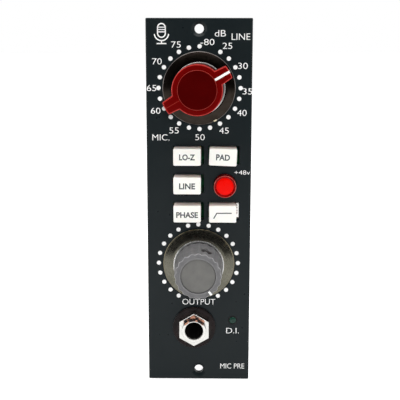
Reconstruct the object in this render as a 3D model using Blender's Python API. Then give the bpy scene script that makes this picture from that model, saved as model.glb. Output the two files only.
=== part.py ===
"""Microphone preamp, a single-width rack module with a tall narrow front panel.

Frame: +X is right as seen from the front, +Y goes into the rack, +Z is up. The origin is the
bottom centre of the front panel's rear face, the face that bears on the rack's rails.
Lengths are in metres. "Height" below means a distance in front of the panel's front face.
"""

import math

import bmesh
import bpy
from mathutils import Matrix

MM = 0.001
GAP = 0.3 * MM
ROUND = 32
SMALL_ROUND = 16
SHARP_ANGLE = math.radians(35)

# Front panel
PANEL_W = 37.5 * MM
PANEL_H = 133.35 * MM
PANEL_T = 3.0 * MM
PANEL_CORNER_R = 0.4 * MM
PANEL_EDGE_BEVEL = 0.25 * MM
PANEL_MID_Z = PANEL_H / 2
RAIL_LAND_H = 7.6 * MM
LAND_STEP = 0.3 * MM
MOUNT_HOLE_R = 1.65 * MM
MOUNT_SINK_R = 2.75 * MM
MOUNT_SINK_DEPTH = 0.8 * MM
MOUNT_HOLE_Z = 3.7 * MM
STUD_R = 1.5 * MM
STUD_X = 13.0 * MM
STUD_Z = 13.7 * MM
STUD_END_Y = 5.0 * MM
PILLAR_R = 1.5 * MM

# Controls on the panel: (x, z) of each axis
GAIN = (0.0, 109.1 * MM)
OUTPUT = (0.0, 45.3 * MM)
JACK = (-1.7 * MM, 20.7 * MM)
LED = (12.6 * MM, 23.3 * MM)
PHANTOM = (9.35 * MM, 74.3 * MM)
COLUMN_X = (-4.15 * MM, 8.55 * MM)
ROW_PITCH = 10.26 * MM
ROW_Z = [85.17 * MM - row * ROW_PITCH for row in range(3)]
BUTTONS = {
    "lo_z": (COLUMN_X[0], ROW_Z[0]),
    "pad": (COLUMN_X[1], ROW_Z[0]),
    "line": (COLUMN_X[0], ROW_Z[1]),
    "phase": (COLUMN_X[0], ROW_Z[2]),
    "low_cut": (COLUMN_X[1], ROW_Z[2]),
}

# Push buttons
CAP_W = 9.75 * MM
CAP_H = 6.05 * MM
CAP_PROUD = 5.3 * MM
CAP_REAR_Y = 0.8 * MM
CAP_CORNER_R = 0.5 * MM
CAP_EDGE_R = 0.35 * MM
WINDOW_LEFT = 0.35 * MM
WINDOW_RIGHT = 1.1 * MM
WINDOW_ABOVE = 0.4 * MM
PLUNGER_W = 3.4 * MM
PLUNGER_FRONT_Y = -1.7 * MM
PLUNGER_REAR_Y = 9.7 * MM
SWITCH_W = 7.6 * MM
SWITCH_FRONT_Y = 4.0 * MM
SWITCH_REAR_Y = 13.7 * MM
SWITCH_BORE_Y = 13.0 * MM

# Illuminated phantom-power button
PHANTOM_R = 4.0 * MM
PHANTOM_PROUD = 3.4 * MM
LENS_R = 3.15 * MM
LENS_PROUD = 3.3 * MM
LENS_T = 1.1 * MM
PHANTOM_STEM_R = 1.6 * MM

# Knobs
BUSHING_R = 4.6 * MM
BUSHING_PROUD = 5.2 * MM
SHAFT_R = 3.0 * MM
NUT_FLATS = 11.0 * MM
NUT_T = 2.3 * MM
KNOB_HOLLOW_R = 7.0 * MM
RING_INNER_R = 7.4 * MM
RING_R = 9.2 * MM
RING_T = 1.0 * MM
SKIRT_BASE = 0.5 * MM
GAIN_SKIRT_R = 12.9 * MM
GAIN_SKIRT_TOP = 2.9 * MM
GAIN_KNOB_R = 8.75 * MM
GAIN_KNOB_PROUD = 12.6 * MM
GAIN_CAP_R = 6.6 * MM
GAIN_POINTER_DEG = 60.0
WING_TIP_R = 12.6 * MM
WING_ROOT_HALF = 2.65 * MM
WING_TIP_HALF = 2.25 * MM
OUTPUT_SKIRT_R = 13.0 * MM
OUTPUT_SKIRT_TOP = 2.6 * MM
OUTPUT_KNOB_BASE_R = 8.8 * MM
OUTPUT_KNOB_FRONT_R = 8.2 * MM
OUTPUT_KNOB_PROUD = 18.0 * MM
OUTPUT_CAP_R = 6.3 * MM
OUTPUT_POINTER_DEG = 145.0
FLUTES = 20
FLUTE_DEPTH = 0.35 * MM

# Jack
JACK_BORE_R = 3.37 * MM
JACK_NECK_R = 4.4 * MM
JACK_NECK_PROUD = 5.0 * MM
JACK_WASHER_R = 7.9 * MM
JACK_WASHER_T = 1.0 * MM
JACK_NUT_FLATS = 10.8 * MM
JACK_NUT_PROUD = 3.9 * MM
JACK_BODY_HALF = 7.4 * MM
JACK_BODY_END_Y = 24.0 * MM

# Chassis: one folded steel tray, closed on its right by a flat cover
SHEET = 1.0 * MM
CHASSIS_LEFT = -17.2 * MM
CHASSIS_RIGHT = 15.7 * MM
CHASSIS_BOTTOM = 8.7 * MM
CHASSIS_TOP = PANEL_H - CHASSIS_BOTTOM
CHASSIS_DEPTH = 140.0 * MM
TAB_INNER_X = 10.0 * MM
TAB_H = 10.0 * MM
LIP_H = 8.0 * MM
LIP_START_Y = 8.0 * MM
COVER_T = 1.2 * MM
COVER_SCREW_Y = (14.0 * MM, 126.0 * MM)
NOTCH_DEPTH = 12.0 * MM
NOTCH_H = 26.0 * MM
VENT_W = 3.0 * MM
VENT_L = 16.0 * MM
SCREW_R = 1.25 * MM
BOARD_POST_R = 2.6 * MM

# Circuit boards
BOARD_T = 1.6 * MM
MAIN_BOARD_X = -14.6 * MM
MAIN_BOARD_FRONT_Y = 29.0 * MM
MAIN_BOARD_REAR_Y = 138.4 * MM
MAIN_BOARD_Z = (12.0 * MM, 121.3 * MM)
TONGUE_HALF = 30.5 * MM
TONGUE_END_Y = 152.4 * MM
BOARD_SCREWS = ((34.0 * MM, 17.5 * MM), (132.0 * MM, 115.8 * MM))
FRONT_BOARD_Y = 14.0 * MM
FRONT_BOARD = ((-12.0 * MM, 58.7 * MM), (15.4 * MM, 92.0 * MM))

LOOKS = {
    "panel_paint": ((0.012, 0.019, 0.022), 0.0, 0.5),
    "steel": ((0.42, 0.43, 0.44), 1.0, 0.4),
    "zinc": ((0.55, 0.55, 0.53), 1.0, 0.35),
    "bright_metal": ((0.85, 0.85, 0.85), 1.0, 0.15),
    "red_plastic": ((0.30, 0.0, 0.0), 0.0, 0.35),
    "dark_red_plastic": ((0.09, 0.0, 0.0), 0.0, 0.4),
    "brown_bronze": ((0.05, 0.04, 0.034), 1.0, 0.3),
    "olive_bronze": ((0.24, 0.23, 0.17), 1.0, 0.3),
    "grey_plastic": ((0.20, 0.20, 0.20), 0.0, 0.4),
    "black_plastic": ((0.01, 0.01, 0.01), 0.0, 0.4),
    "white_plastic": ((0.85, 0.83, 0.76), 0.0, 0.35),
    "red_lens": ((0.90, 0.02, 0.01), 0.0, 0.3),
    "led_green": ((0.01, 0.06, 0.02), 0.0, 0.25),
    "board": ((0.01, 0.09, 0.03), 0.0, 0.5),
    "transformer": ((0.30, 0.30, 0.32), 1.0, 0.35),
    "capacitor": ((0.02, 0.03, 0.08), 0.0, 0.35),
    "relay": ((0.80, 0.78, 0.70), 0.0, 0.4),
    "ribbon": ((0.35, 0.35, 0.36), 0.0, 0.6),
}


# ---------------------------------------------------------------- shapes


def block(low, high):
    """A box between two corners."""
    bm = bmesh.new()
    bmesh.ops.create_cube(bm, size=1.0)
    for vertex in bm.verts:
        vertex.co = [low[i] if vertex.co[i] < 0 else high[i] for i in range(3)]
    return bm


def arc_points(radius, first, last, steps):
    """(x, z) points of an arc, both ends included. Seen from the front, angles run clockwise from the top."""
    angles = [first + (last - first) * i / steps for i in range(steps + 1)]
    return [(radius * math.sin(a), radius * math.cos(a)) for a in angles]


def circle_points(radius, steps):
    return arc_points(radius, 0.0, 2 * math.pi, steps)[:-1]


def turned(profile, steps=ROUND, centre=(0.0, 0.0)):
    """A solid turned about a line parallel to Y through centre (x, z).

    profile lists (radius, y). It runs from the axis to the axis, or else it is a closed ring.
    """
    bm = bmesh.new()
    rings = []
    for radius, along in profile:
        around = circle_points(radius, steps) if radius else [(0.0, 0.0)]
        rings.append([bm.verts.new((centre[0] + x, along, centre[1] + z)) for x, z in around])
    pairs = list(zip(rings, rings[1:]))
    if profile[0][0]:
        pairs.append((rings[-1], rings[0]))
    for near, far in pairs:
        for i in range(steps):
            j = (i + 1) % steps
            corners = (near[i % len(near)], near[j % len(near)], far[j % len(far)], far[i % len(far)])
            bm.faces.new(dict.fromkeys(corners))
    bmesh.ops.recalc_face_normals(bm, faces=bm.faces)
    return bm


def rod(radius, y_front, y_rear, centre=(0.0, 0.0), steps=SMALL_ROUND):
    """A plain round bar along Y, also used to cut round holes."""
    return turned([(0.0, y_front), (radius, y_front), (radius, y_rear), (0.0, y_rear)], steps, centre)


def prism(outline, y_front, y_rear, centre=(0.0, 0.0)):
    """An outline of (x, z) points extruded along Y."""
    bm = bmesh.new()
    front = [bm.verts.new((centre[0] + x, y_front, centre[1] + z)) for x, z in outline]
    rear = [bm.verts.new((centre[0] + x, y_rear, centre[1] + z)) for x, z in outline]
    bm.faces.new(front)
    bm.faces.new(reversed(rear))
    for i in range(len(outline)):
        j = (i + 1) % len(outline)
        bm.faces.new((front[j], front[i], rear[i], rear[j]))
    bmesh.ops.recalc_face_normals(bm, faces=bm.faces)
    return bm


def rounded_rectangle(width, height, radius, steps=4):
    """(x, z) points of a rectangle with round corners, centred on the axis."""
    points = []
    corners = ((1, 1, 0), (1, -1, 1), (-1, -1, 2), (-1, 1, 3))
    for side_x, side_z, quarter in corners:
        centre_x = side_x * (width / 2 - radius)
        centre_z = side_z * (height / 2 - radius)
        first = quarter * math.pi / 2
        for x, z in arc_points(radius, first, first + math.pi / 2, steps):
            points.append((centre_x + x, centre_z + z))
    return points


def hexagon(flats):
    """(x, z) corners of a hexagon that points up and down."""
    return circle_points(flats / math.sqrt(3), 6)


def together(shapes):
    """Several separate shapes in one mesh."""
    result = bmesh.new()
    for shape in shapes:
        mesh = bpy.data.meshes.new("piece")
        shape.to_mesh(mesh)
        shape.free()
        result.from_mesh(mesh)
        bpy.data.meshes.remove(mesh)
    return result


def moved(bm, matrix):
    bmesh.ops.transform(bm, matrix=matrix, verts=bm.verts)
    return bm


def facing_right(bm):
    """Turns a shape so that its front, -Y, faces +X."""
    return moved(bm, Matrix.Rotation(math.pi / 2, 4, "Z"))


def facing_up(bm):
    """Turns a shape so that its front, -Y, faces +Z."""
    return moved(bm, Matrix.Rotation(-math.pi / 2, 4, "X"))


def soften(bm, offset, steps, wanted):
    """Bevels the edges that wanted(edge) picks."""
    edges = [edge for edge in bm.edges if wanted(edge)]
    bmesh.ops.bevel(bm, geom=edges, offset=offset, segments=steps, profile=0.5, affect="EDGES")
    return bm


def along_y(edge):
    span = edge.verts[0].co - edge.verts[1].co
    return abs(span.y) > 10 * (abs(span.x) + abs(span.z))


# ---------------------------------------------------------------- objects


def look(name):
    made = bpy.data.materials.get(name)
    if made:
        return made
    colour, metallic, roughness = LOOKS[name]
    made = bpy.data.materials.new(name)
    made.use_nodes = True
    shader = made.node_tree.nodes["Principled BSDF"]
    shader.inputs["Base Color"].default_value = (*colour, 1.0)
    shader.inputs["Metallic"].default_value = metallic
    shader.inputs["Roughness"].default_value = roughness
    return made


def piece(name, bm, look_name, at=(0.0, 0.0, 0.0), parent=None):
    """Makes the named object. at is its origin; the shape is built around that origin."""
    mesh = bpy.data.meshes.new(name)
    bm.to_mesh(mesh)
    bm.free()
    mesh.materials.append(look(look_name))
    made = bpy.data.objects.new(name, mesh)
    made.location = at
    made.parent = parent
    bpy.context.scene.collection.objects.link(made)
    shade(made)
    return made


def shade(made):
    made.data.shade_smooth()
    made.data.set_sharp_from_angle(angle=SHARP_ANGLE)


def combine(target, operation, shape):
    """Cuts or joins a shape, given in the target's own frame, and keeps the result as its mesh."""
    tool_mesh = bpy.data.meshes.new("tool")
    shape.to_mesh(tool_mesh)
    shape.free()
    tool = bpy.data.objects.new("tool", tool_mesh)
    tool.location = target.location
    bpy.context.scene.collection.objects.link(tool)
    modifier = target.modifiers.new(operation, "BOOLEAN")
    modifier.operation = operation
    modifier.solver = "EXACT"
    modifier.object = tool
    bpy.context.view_layer.update()
    graph = bpy.context.evaluated_depsgraph_get()
    mesh = bpy.data.meshes.new_from_object(target.evaluated_get(graph))
    target.modifiers.clear()
    target.data = mesh
    bpy.data.objects.remove(tool)
    shade(target)


def cut(target, shape):
    combine(target, "DIFFERENCE", shape)


def join(target, shape):
    combine(target, "UNION", shape)


def axis_empty(name, centre, turn_deg):
    """An empty on a knob's axis, turned so that its +Z is the pointer."""
    made = bpy.data.objects.new(name, None)
    made.location = (centre[0], 0.0, centre[1])
    made.rotation_euler = (0.0, math.radians(turn_deg), 0.0)
    bpy.context.scene.collection.objects.link(made)
    return made


def y_at(height):
    """The y of a height in front of the panel."""
    return -PANEL_T - height


# ---------------------------------------------------------------- front panel


def stud_places():
    return [(x, z) for z in (STUD_Z, PANEL_H - STUD_Z) for x in (-STUD_X, STUD_X)]


def pillar_places():
    """The crossings of the webs between the button windows."""
    x = (COLUMN_X[0] + CAP_W / 2 + WINDOW_RIGHT + COLUMN_X[1] - CAP_W / 2 - WINDOW_LEFT) / 2
    return [(x, (ROW_Z[i] + ROW_Z[i + 1]) / 2) for i in (0, 1)]


def mounting_holes():
    reach = 1.0 * MM
    holes = []
    for z in (MOUNT_HOLE_Z, PANEL_H - MOUNT_HOLE_Z):
        profile = [(0.0, -PANEL_T - reach), (MOUNT_SINK_R, -PANEL_T - reach), (MOUNT_SINK_R, -PANEL_T)]
        profile += [(MOUNT_HOLE_R, -PANEL_T + MOUNT_SINK_DEPTH), (MOUNT_HOLE_R, reach), (0.0, reach)]
        holes.append(turned(profile, SMALL_ROUND, (0.0, z)))
    return holes


def button_windows():
    width = CAP_W + WINDOW_LEFT + WINDOW_RIGHT
    outline = rounded_rectangle(width, CAP_H + 2 * WINDOW_ABOVE, 0.3 * MM, 1)
    shift = (WINDOW_RIGHT - WINDOW_LEFT) / 2
    return [prism(outline, -2 * PANEL_T, PANEL_T, (x + shift, z)) for x, z in BUTTONS.values()]


def round_holes():
    bushing_hole_r = BUSHING_R + GAP
    wanted = [(GAIN, bushing_hole_r), (OUTPUT, bushing_hole_r), (JACK, JACK_NECK_R + GAP)]
    wanted += [(PHANTOM, PHANTOM_R + GAP), (LED, 1.3 * MM + GAP)]
    return [rod(radius, -2 * PANEL_T, PANEL_T, centre, 24) for centre, radius in wanted]


def front_panel():
    outline = rounded_rectangle(PANEL_W, PANEL_H, PANEL_CORNER_R)
    plate = prism(outline, -PANEL_T, 0.0, (0.0, PANEL_MID_Z))
    front_edge = -PANEL_T + PANEL_EDGE_BEVEL
    soften(plate, PANEL_EDGE_BEVEL, 1, lambda edge: max(v.co.y for v in edge.verts) < front_edge)
    panel = piece("front_panel", plate, "panel_paint")
    recess = block((-PANEL_W, -LAND_STEP, RAIL_LAND_H), (PANEL_W, PANEL_T, PANEL_H - RAIL_LAND_H))
    cut(panel, recess)
    root = -LAND_STEP - 1.0 * MM
    pillar_end = FRONT_BOARD_Y - GAP
    posts = [rod(STUD_R, root, STUD_END_Y, at) for at in stud_places()]
    posts += [rod(PILLAR_R, root, pillar_end, at) for at in pillar_places()]
    join(panel, together(posts))
    cut(panel, together(mounting_holes() + button_windows() + round_holes()))


# ---------------------------------------------------------------- knobs


def knob_skirt(name, radius, top, look_name, parent):
    """A shallow cone that covers the fixing nut."""
    rim = 0.9 * MM
    profile = [(RING_INNER_R, y_at(SKIRT_BASE)), (radius - 0.2 * MM, y_at(SKIRT_BASE))]
    profile += [(radius, y_at(SKIRT_BASE + 0.2 * MM)), (radius, y_at(SKIRT_BASE + rim))]
    profile += [(RING_R + 0.5 * MM, y_at(top)), (RING_INNER_R, y_at(top))]
    piece(name, turned(profile, ROUND), look_name, parent=parent)


def knob_ring(name, base, parent):
    """The bright metal ring between the skirt and the grip."""
    edge = 0.25 * MM
    profile = [(RING_INNER_R, y_at(base)), (RING_R, y_at(base)), (RING_R, y_at(base + RING_T - edge))]
    profile += [(RING_R - edge, y_at(base + RING_T)), (RING_INNER_R, y_at(base + RING_T))]
    piece(name, turned(profile, ROUND), "bright_metal", parent=parent)


def knob_cutters(base, face, cap_r, cap_depth):
    """The hollow under a grip, its shaft bore, and the seat of its face disc."""
    hollow_top = base + 2.2 * MM
    bore_top = face - cap_depth - 1.3 * MM
    under_y = y_at(base - 1 * MM)
    under = [(0, under_y), (KNOB_HOLLOW_R, under_y), (KNOB_HOLLOW_R, y_at(hollow_top))]
    under += [(SHAFT_R + GAP, y_at(hollow_top)), (SHAFT_R + GAP, y_at(bore_top)), (0, y_at(bore_top))]
    seat_r = cap_r + GAP
    seat_y = y_at(face - cap_depth)
    seat = [(0, y_at(face + 1 * MM)), (seat_r, y_at(face + 1 * MM)), (seat_r, seat_y), (0, seat_y)]
    return together([turned(under, SMALL_ROUND), turned(seat, ROUND)])


def knob_disc(name, radius, low, high, look_name, parent):
    edge = 0.15 * MM
    profile = [(0, y_at(low)), (radius, y_at(low)), (radius, y_at(high - edge)), (radius - edge, y_at(high))]
    profile += [(0, y_at(high))]
    piece(name, turned(profile, ROUND), look_name, parent=parent)


def knob_shaft(name, rear_y, end_height, parent):
    edge = 0.4 * MM
    profile = [(0, rear_y), (SHAFT_R, rear_y), (SHAFT_R, y_at(end_height - edge))]
    profile += [(SHAFT_R - edge, y_at(end_height)), (0, y_at(end_height))]
    piece(name, turned(profile, SMALL_ROUND), "zinc", parent=parent)


def fixing_nut(name, centre):
    base, top = 0.3 * MM, 0.3 * MM + NUT_T
    nut = prism(hexagon(NUT_FLATS), y_at(base), y_at(top))
    made = piece(name, nut, "zinc", at=(centre[0], 0.0, centre[1]))
    cut(made, rod(BUSHING_R + GAP, y_at(2 * top), 0.0))


def winged_outline():
    """A round grip with two opposite wings along Z."""
    root = math.asin(WING_ROOT_HALF / GAIN_KNOB_R)
    tip = math.asin(WING_TIP_HALF / WING_TIP_R)
    points = []
    for turn in (0.0, math.pi):
        points += arc_points(WING_TIP_R, turn - tip, turn + tip, 4)
        points += arc_points(GAIN_KNOB_R, turn + root, turn + math.pi - root, 14)
    return points


def gain_knob_group():
    axis = axis_empty("gain_axis", GAIN, GAIN_POINTER_DEG)
    knob_skirt("gain_skirt", GAIN_SKIRT_R, GAIN_SKIRT_TOP, "brown_bronze", axis)
    ring_base = GAIN_SKIRT_TOP + GAP
    knob_ring("gain_ring", ring_base, axis)
    base = ring_base + RING_T + GAP
    grip = prism(winged_outline(), y_at(GAIN_KNOB_PROUD), y_at(base))
    face_edge = y_at(GAIN_KNOB_PROUD) + 0.05 * MM
    soften(grip, 0.35 * MM, 2, lambda edge: max(v.co.y for v in edge.verts) < face_edge)
    knob = piece("gain_knob", grip, "red_plastic")
    cap_depth = 1.0 * MM
    cut(knob, knob_cutters(base, GAIN_KNOB_PROUD, GAIN_CAP_R, cap_depth))
    knob.parent = axis
    cap_low = GAIN_KNOB_PROUD - cap_depth + GAP
    knob_disc("gain_knob_cap", GAIN_CAP_R, cap_low, GAIN_KNOB_PROUD + 0.1 * MM, "dark_red_plastic", axis)
    knob_shaft("gain_shaft", 21.7 * MM, GAIN_KNOB_PROUD - cap_depth - 1.6 * MM, axis)


def fluted(profile, points_per_flute=3):
    """A turned solid whose wall carries flutes. profile lists (radius, y, flute depth)."""
    steps = FLUTES * points_per_flute
    bm = turned([(radius, y) for radius, y, _ in profile], steps)
    depth_at = {round(y, 6): (radius, depth) for radius, y, depth in profile if depth}
    for vertex in bm.verts:
        radius, depth = depth_at.get(round(vertex.co.y, 6), (0.0, 0.0))
        if depth and math.hypot(vertex.co.x, vertex.co.z) > radius - depth:
            angle = math.atan2(vertex.co.x, vertex.co.z)
            shrink = 1 - depth / radius * (0.5 - 0.5 * math.cos(FLUTES * angle))
            vertex.co.x *= shrink
            vertex.co.z *= shrink
    return bm


def output_knob_group():
    axis = axis_empty("output_axis", OUTPUT, OUTPUT_POINTER_DEG)
    knob_skirt("output_skirt", OUTPUT_SKIRT_R, OUTPUT_SKIRT_TOP, "olive_bronze", axis)
    ring_base = OUTPUT_SKIRT_TOP + GAP
    knob_ring("output_ring", ring_base, axis)
    base = ring_base + RING_T + GAP
    edge = 0.4 * MM
    front_wall_r = OUTPUT_KNOB_FRONT_R + 0.05 * MM
    profile = [(0, y_at(base), 0), (OUTPUT_KNOB_BASE_R, y_at(base), FLUTE_DEPTH)]
    profile += [(front_wall_r, y_at(OUTPUT_KNOB_PROUD - edge), FLUTE_DEPTH)]
    profile += [(OUTPUT_KNOB_FRONT_R - edge, y_at(OUTPUT_KNOB_PROUD), 0.1 * MM)]
    profile += [(0, y_at(OUTPUT_KNOB_PROUD) - 1e-5 * MM, 0)]
    knob = piece("output_knob", fluted(profile), "grey_plastic")
    cap_depth = 1.0 * MM
    cut(knob, knob_cutters(base, OUTPUT_KNOB_PROUD, OUTPUT_CAP_R, cap_depth))
    knob.parent = axis
    cap_low = OUTPUT_KNOB_PROUD - cap_depth + GAP
    knob_disc("output_knob_cap", OUTPUT_CAP_R, cap_low, OUTPUT_KNOB_PROUD - 0.15 * MM, "grey_plastic", axis)
    knob_shaft("output_shaft", 10.7 * MM, OUTPUT_KNOB_PROUD - cap_depth - 1.6 * MM, axis)


# ---------------------------------------------------------------- switches behind the knobs


def bushed_body(name, centre, steps_of_body, bore_end_y):
    """A control body with its threaded bushing through the panel. steps_of_body lists (radius, y)."""
    bore = SHAFT_R + GAP
    bushing_end = y_at(BUSHING_PROUD)
    profile = [(bore, bushing_end), (BUSHING_R - 0.3 * MM, bushing_end), (BUSHING_R, bushing_end + 0.3 * MM)]
    profile += [(BUSHING_R, steps_of_body[0][1])] + steps_of_body
    profile += [(0, steps_of_body[-1][1]), (0, bore_end_y), (bore, bore_end_y)]
    bm = turned([(0.0, profile[-2][1])] + [profile[-1]] + profile[:-2], SMALL_ROUND)
    piece(name, bm, "black_plastic", at=(centre[0], 0.0, centre[1]))


def gain_switch():
    """A rotary switch: an index plate and two contact wafers on a thinner core."""
    neck_r, plate_r, core_r, wafer_r = 6.0 * MM, 12.2 * MM, 9.0 * MM, 11.8 * MM
    plate_front, plate_rear, wafer_t = 4.0 * MM, 8.5 * MM, 1.6 * MM
    steps = [(neck_r, 0.0), (neck_r, plate_front), (plate_r, plate_front), (plate_r, plate_rear)]
    steps += [(core_r, plate_rear)]
    for wafer_y in (12.0 * MM, 17.5 * MM):
        steps += [(core_r, wafer_y), (wafer_r, wafer_y)]
        steps += [(wafer_r, wafer_y + wafer_t), (core_r, wafer_y + wafer_t)]
    steps += [(core_r, 24.0 * MM)]
    bushed_body("gain_switch", GAIN, steps, 22.0 * MM)


def output_pot():
    """A sealed rotary potentiometer."""
    can_r = 8.4 * MM
    steps = [(7.0 * MM, 0.0), (7.0 * MM, 1.6 * MM), (can_r, 1.6 * MM), (can_r, 12.0 * MM)]
    steps += [(can_r - 0.8 * MM, 13.0 * MM)]
    bushed_body("output_pot", OUTPUT, steps, 11.0 * MM)


# ---------------------------------------------------------------- push buttons


def push_cap(name, centre):
    front, half_w, half_h = y_at(CAP_PROUD), CAP_W / 2, CAP_H / 2
    cap = block((-half_w, front, -half_h), (half_w, CAP_REAR_Y, half_h))
    soften(cap, CAP_CORNER_R, 3, along_y)
    soften(cap, CAP_EDGE_R, 2, lambda edge: max(v.co.y for v in edge.verts) < front + 0.01 * MM)
    made = piece(f"{name}_cap", cap, "white_plastic", at=(centre[0], 0.0, centre[1]))
    half = PLUNGER_W / 2 + GAP
    cut(made, block((-half, PLUNGER_FRONT_Y - GAP, -half), (half, 2 * CAP_REAR_Y, half)))


def push_plunger(name, centre):
    half = PLUNGER_W / 2
    stem = block((-half, PLUNGER_FRONT_Y, -half), (half, PLUNGER_REAR_Y, half))
    piece(f"{name}_plunger", stem, "black_plastic", at=(centre[0], 0.0, centre[1]))


def push_switch(name, centre, opening):
    half = SWITCH_W / 2
    body = block((-half, SWITCH_FRONT_Y, -half), (half, SWITCH_REAR_Y, half))
    soften(body, 0.4 * MM, 1, along_y)
    made = piece(f"{name}_switch", body, "black_plastic", at=(centre[0], 0.0, centre[1]))
    cut(made, opening)


def push_buttons():
    half = PLUNGER_W / 2 + GAP
    for name, centre in BUTTONS.items():
        push_cap(name, centre)
        push_plunger(name, centre)
        opening = block((-half, SWITCH_FRONT_Y - 1 * MM, -half), (half, SWITCH_BORE_Y, half))
        push_switch(name, centre, opening)


def phantom_button():
    """A round lit button: a cup with a stem, and a lens in its front."""
    front, rear = y_at(PHANTOM_PROUD), 1.5 * MM
    seat_r, seat_y = LENS_R + GAP, y_at(LENS_PROUD - LENS_T - 0.3 * MM)
    stem_end = PLUNGER_REAR_Y
    rim = 0.15 * MM
    profile = [(0, seat_y), (seat_r, seat_y), (seat_r, front), (PHANTOM_R - rim, front)]
    profile += [(PHANTOM_R, front + rim), (PHANTOM_R, rear), (PHANTOM_STEM_R, rear)]
    profile += [(PHANTOM_STEM_R, stem_end), (0, stem_end)]
    place = (PHANTOM[0], 0.0, PHANTOM[1])
    piece("phantom_cap", turned(profile, 24), "dark_red_plastic", at=place)
    dome = 0.25 * MM
    lens_rear = y_at(LENS_PROUD - LENS_T)
    lens = [(0, lens_rear), (LENS_R, lens_rear), (LENS_R, y_at(LENS_PROUD - dome))]
    lens += [(LENS_R * 0.7, y_at(LENS_PROUD - dome * 0.4)), (0, y_at(LENS_PROUD))]
    piece("phantom_lens", turned(lens, 24), "red_lens", at=place)
    push_switch("phantom", PHANTOM, rod(PHANTOM_STEM_R + GAP, SWITCH_FRONT_Y - MM, SWITCH_BORE_Y))


# ---------------------------------------------------------------- jack and lamp


def jack_body():
    """A moulded socket whose threaded neck comes through the panel."""
    place = (JACK[0], 0.0, JACK[1])
    half = JACK_BODY_HALF
    body = block((-half, 0.0, -half), (half, JACK_BODY_END_Y, half))
    soften(body, 0.8 * MM, 2, along_y)
    made = piece("jack_body", body, "black_plastic", at=place)
    neck_end = y_at(JACK_NECK_PROUD)
    join(made, rod(JACK_NECK_R, neck_end, MM, steps=24))
    cut(made, rod(JACK_BORE_R, 2 * neck_end, JACK_BODY_END_Y - 2 * MM, steps=24))


def jack_washer():
    base, top, edge = 0.3 * MM, 0.3 * MM + JACK_WASHER_T, 0.3 * MM
    inner = JACK_NECK_R + GAP
    profile = [(inner, y_at(base)), (JACK_WASHER_R, y_at(base)), (JACK_WASHER_R, y_at(top - edge))]
    profile += [(JACK_WASHER_R - edge, y_at(top)), (inner, y_at(top))]
    piece("jack_washer", turned(profile), "black_plastic", at=(JACK[0], 0.0, JACK[1]))


def jack_nut():
    """A hexagonal nut on the socket's neck, which stands a little out of it."""
    base = 0.6 * MM + JACK_WASHER_T
    face = y_at(JACK_NUT_PROUD)
    nut = piece("jack_nut", prism(hexagon(JACK_NUT_FLATS), face, y_at(base)), "bright_metal")
    cut(nut, rod(JACK_NECK_R + GAP, 2 * face, 0.0, steps=24))
    nut.location = (JACK[0], 0.0, JACK[1])


def di_led():
    """A small lamp with a domed front and a flange behind the panel."""
    r, flange_r, proud = 1.3 * MM, 1.9 * MM, 0.5 * MM
    profile = [(0, y_at(proud)), (r * 0.6, y_at(proud * 0.7)), (r, y_at(0.0)), (r, 0.0), (flange_r, 0.0)]
    profile += [(flange_r, 1.0 * MM), (r, 1.0 * MM), (r, 5.0 * MM), (0, 5.0 * MM)]
    piece("di_led", turned(profile, 20), "led_green", at=(LED[0], 0.0, LED[1]))


# ---------------------------------------------------------------- chassis and cover


def vent():
    """A slot with round ends, long in X, that cuts a sheet lying across Y."""
    outline = rounded_rectangle(VENT_L, VENT_W, VENT_W / 2 - 0.01 * MM, 2)
    return prism(outline, -2 * SHEET, 2 * SHEET)


def placed(bm, x, y, z):
    return moved(bm, Matrix.Translation((x, y, z)))


def cover_screw_places():
    heights = (CHASSIS_BOTTOM + SHEET + LIP_H / 2, CHASSIS_TOP - SHEET - LIP_H / 2)
    return [(y, z) for z in heights for y in COVER_SCREW_Y]


def chassis_tray():
    """The folded sheet: left wall, top, bottom and rear, with lips on the right and tabs in front."""
    left, right, low, high = CHASSIS_LEFT, CHASSIS_RIGHT, CHASSIS_BOTTOM, CHASSIS_TOP
    depth = CHASSIS_DEPTH
    tray = piece("chassis", block((left, 0.0, low), (right, depth, high)), "steel")
    cut(tray, block((left + SHEET, SHEET, low + SHEET), (right - SHEET, depth - SHEET, high - SHEET)))
    lip_low, lip_high = low + SHEET + LIP_H, high - SHEET - LIP_H
    cut(tray, block((right - 2 * SHEET, -SHEET, lip_low), (right + SHEET, depth - SHEET, lip_high)))
    cut(tray, block((right - 2 * SHEET, SHEET, low + SHEET), (right + SHEET, LIP_START_Y, high - SHEET)))
    tab_low, tab_high = low + TAB_H, high - TAB_H
    cut(tray, block((left + SHEET, -SHEET, tab_low), (right + SHEET, 1.5 * SHEET, tab_high)))
    cut(tray, block((-TAB_INNER_X, -SHEET, low + SHEET), (TAB_INNER_X, 1.5 * SHEET, high - SHEET)))
    return tray


def chassis_holes():
    holes = [rod(STUD_R + GAP, -SHEET, 2 * SHEET, at) for at in stud_places()]
    lip_x = CHASSIS_RIGHT - SHEET / 2
    post_x = MAIN_BOARD_X - 1.5 * MM
    places = [(lip_x, y, z) for y, z in cover_screw_places()] + [(post_x, y, z) for y, z in BOARD_SCREWS]
    for x, y, z in places:
        holes.append(placed(facing_right(rod(SCREW_R + GAP, -2 * SHEET, 2 * SHEET)), x, y, z))
    return holes


def chassis_vents():
    vents = []
    for i in range(7):
        y = (48 + 10 * i) * MM
        for z in (CHASSIS_BOTTOM, CHASSIS_TOP):
            vents.append(placed(facing_up(vent()), 0.0, y, z))
    for x in (-5.0, 0.5, 6.0, 11.5):
        for z in (PANEL_MID_Z - 12 * MM, PANEL_MID_Z + 12 * MM):
            upright = moved(vent(), Matrix.Rotation(math.pi / 2, 4, "Y"))
            vents.append(placed(upright, x * MM, CHASSIS_DEPTH, z))
    return vents


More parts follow.
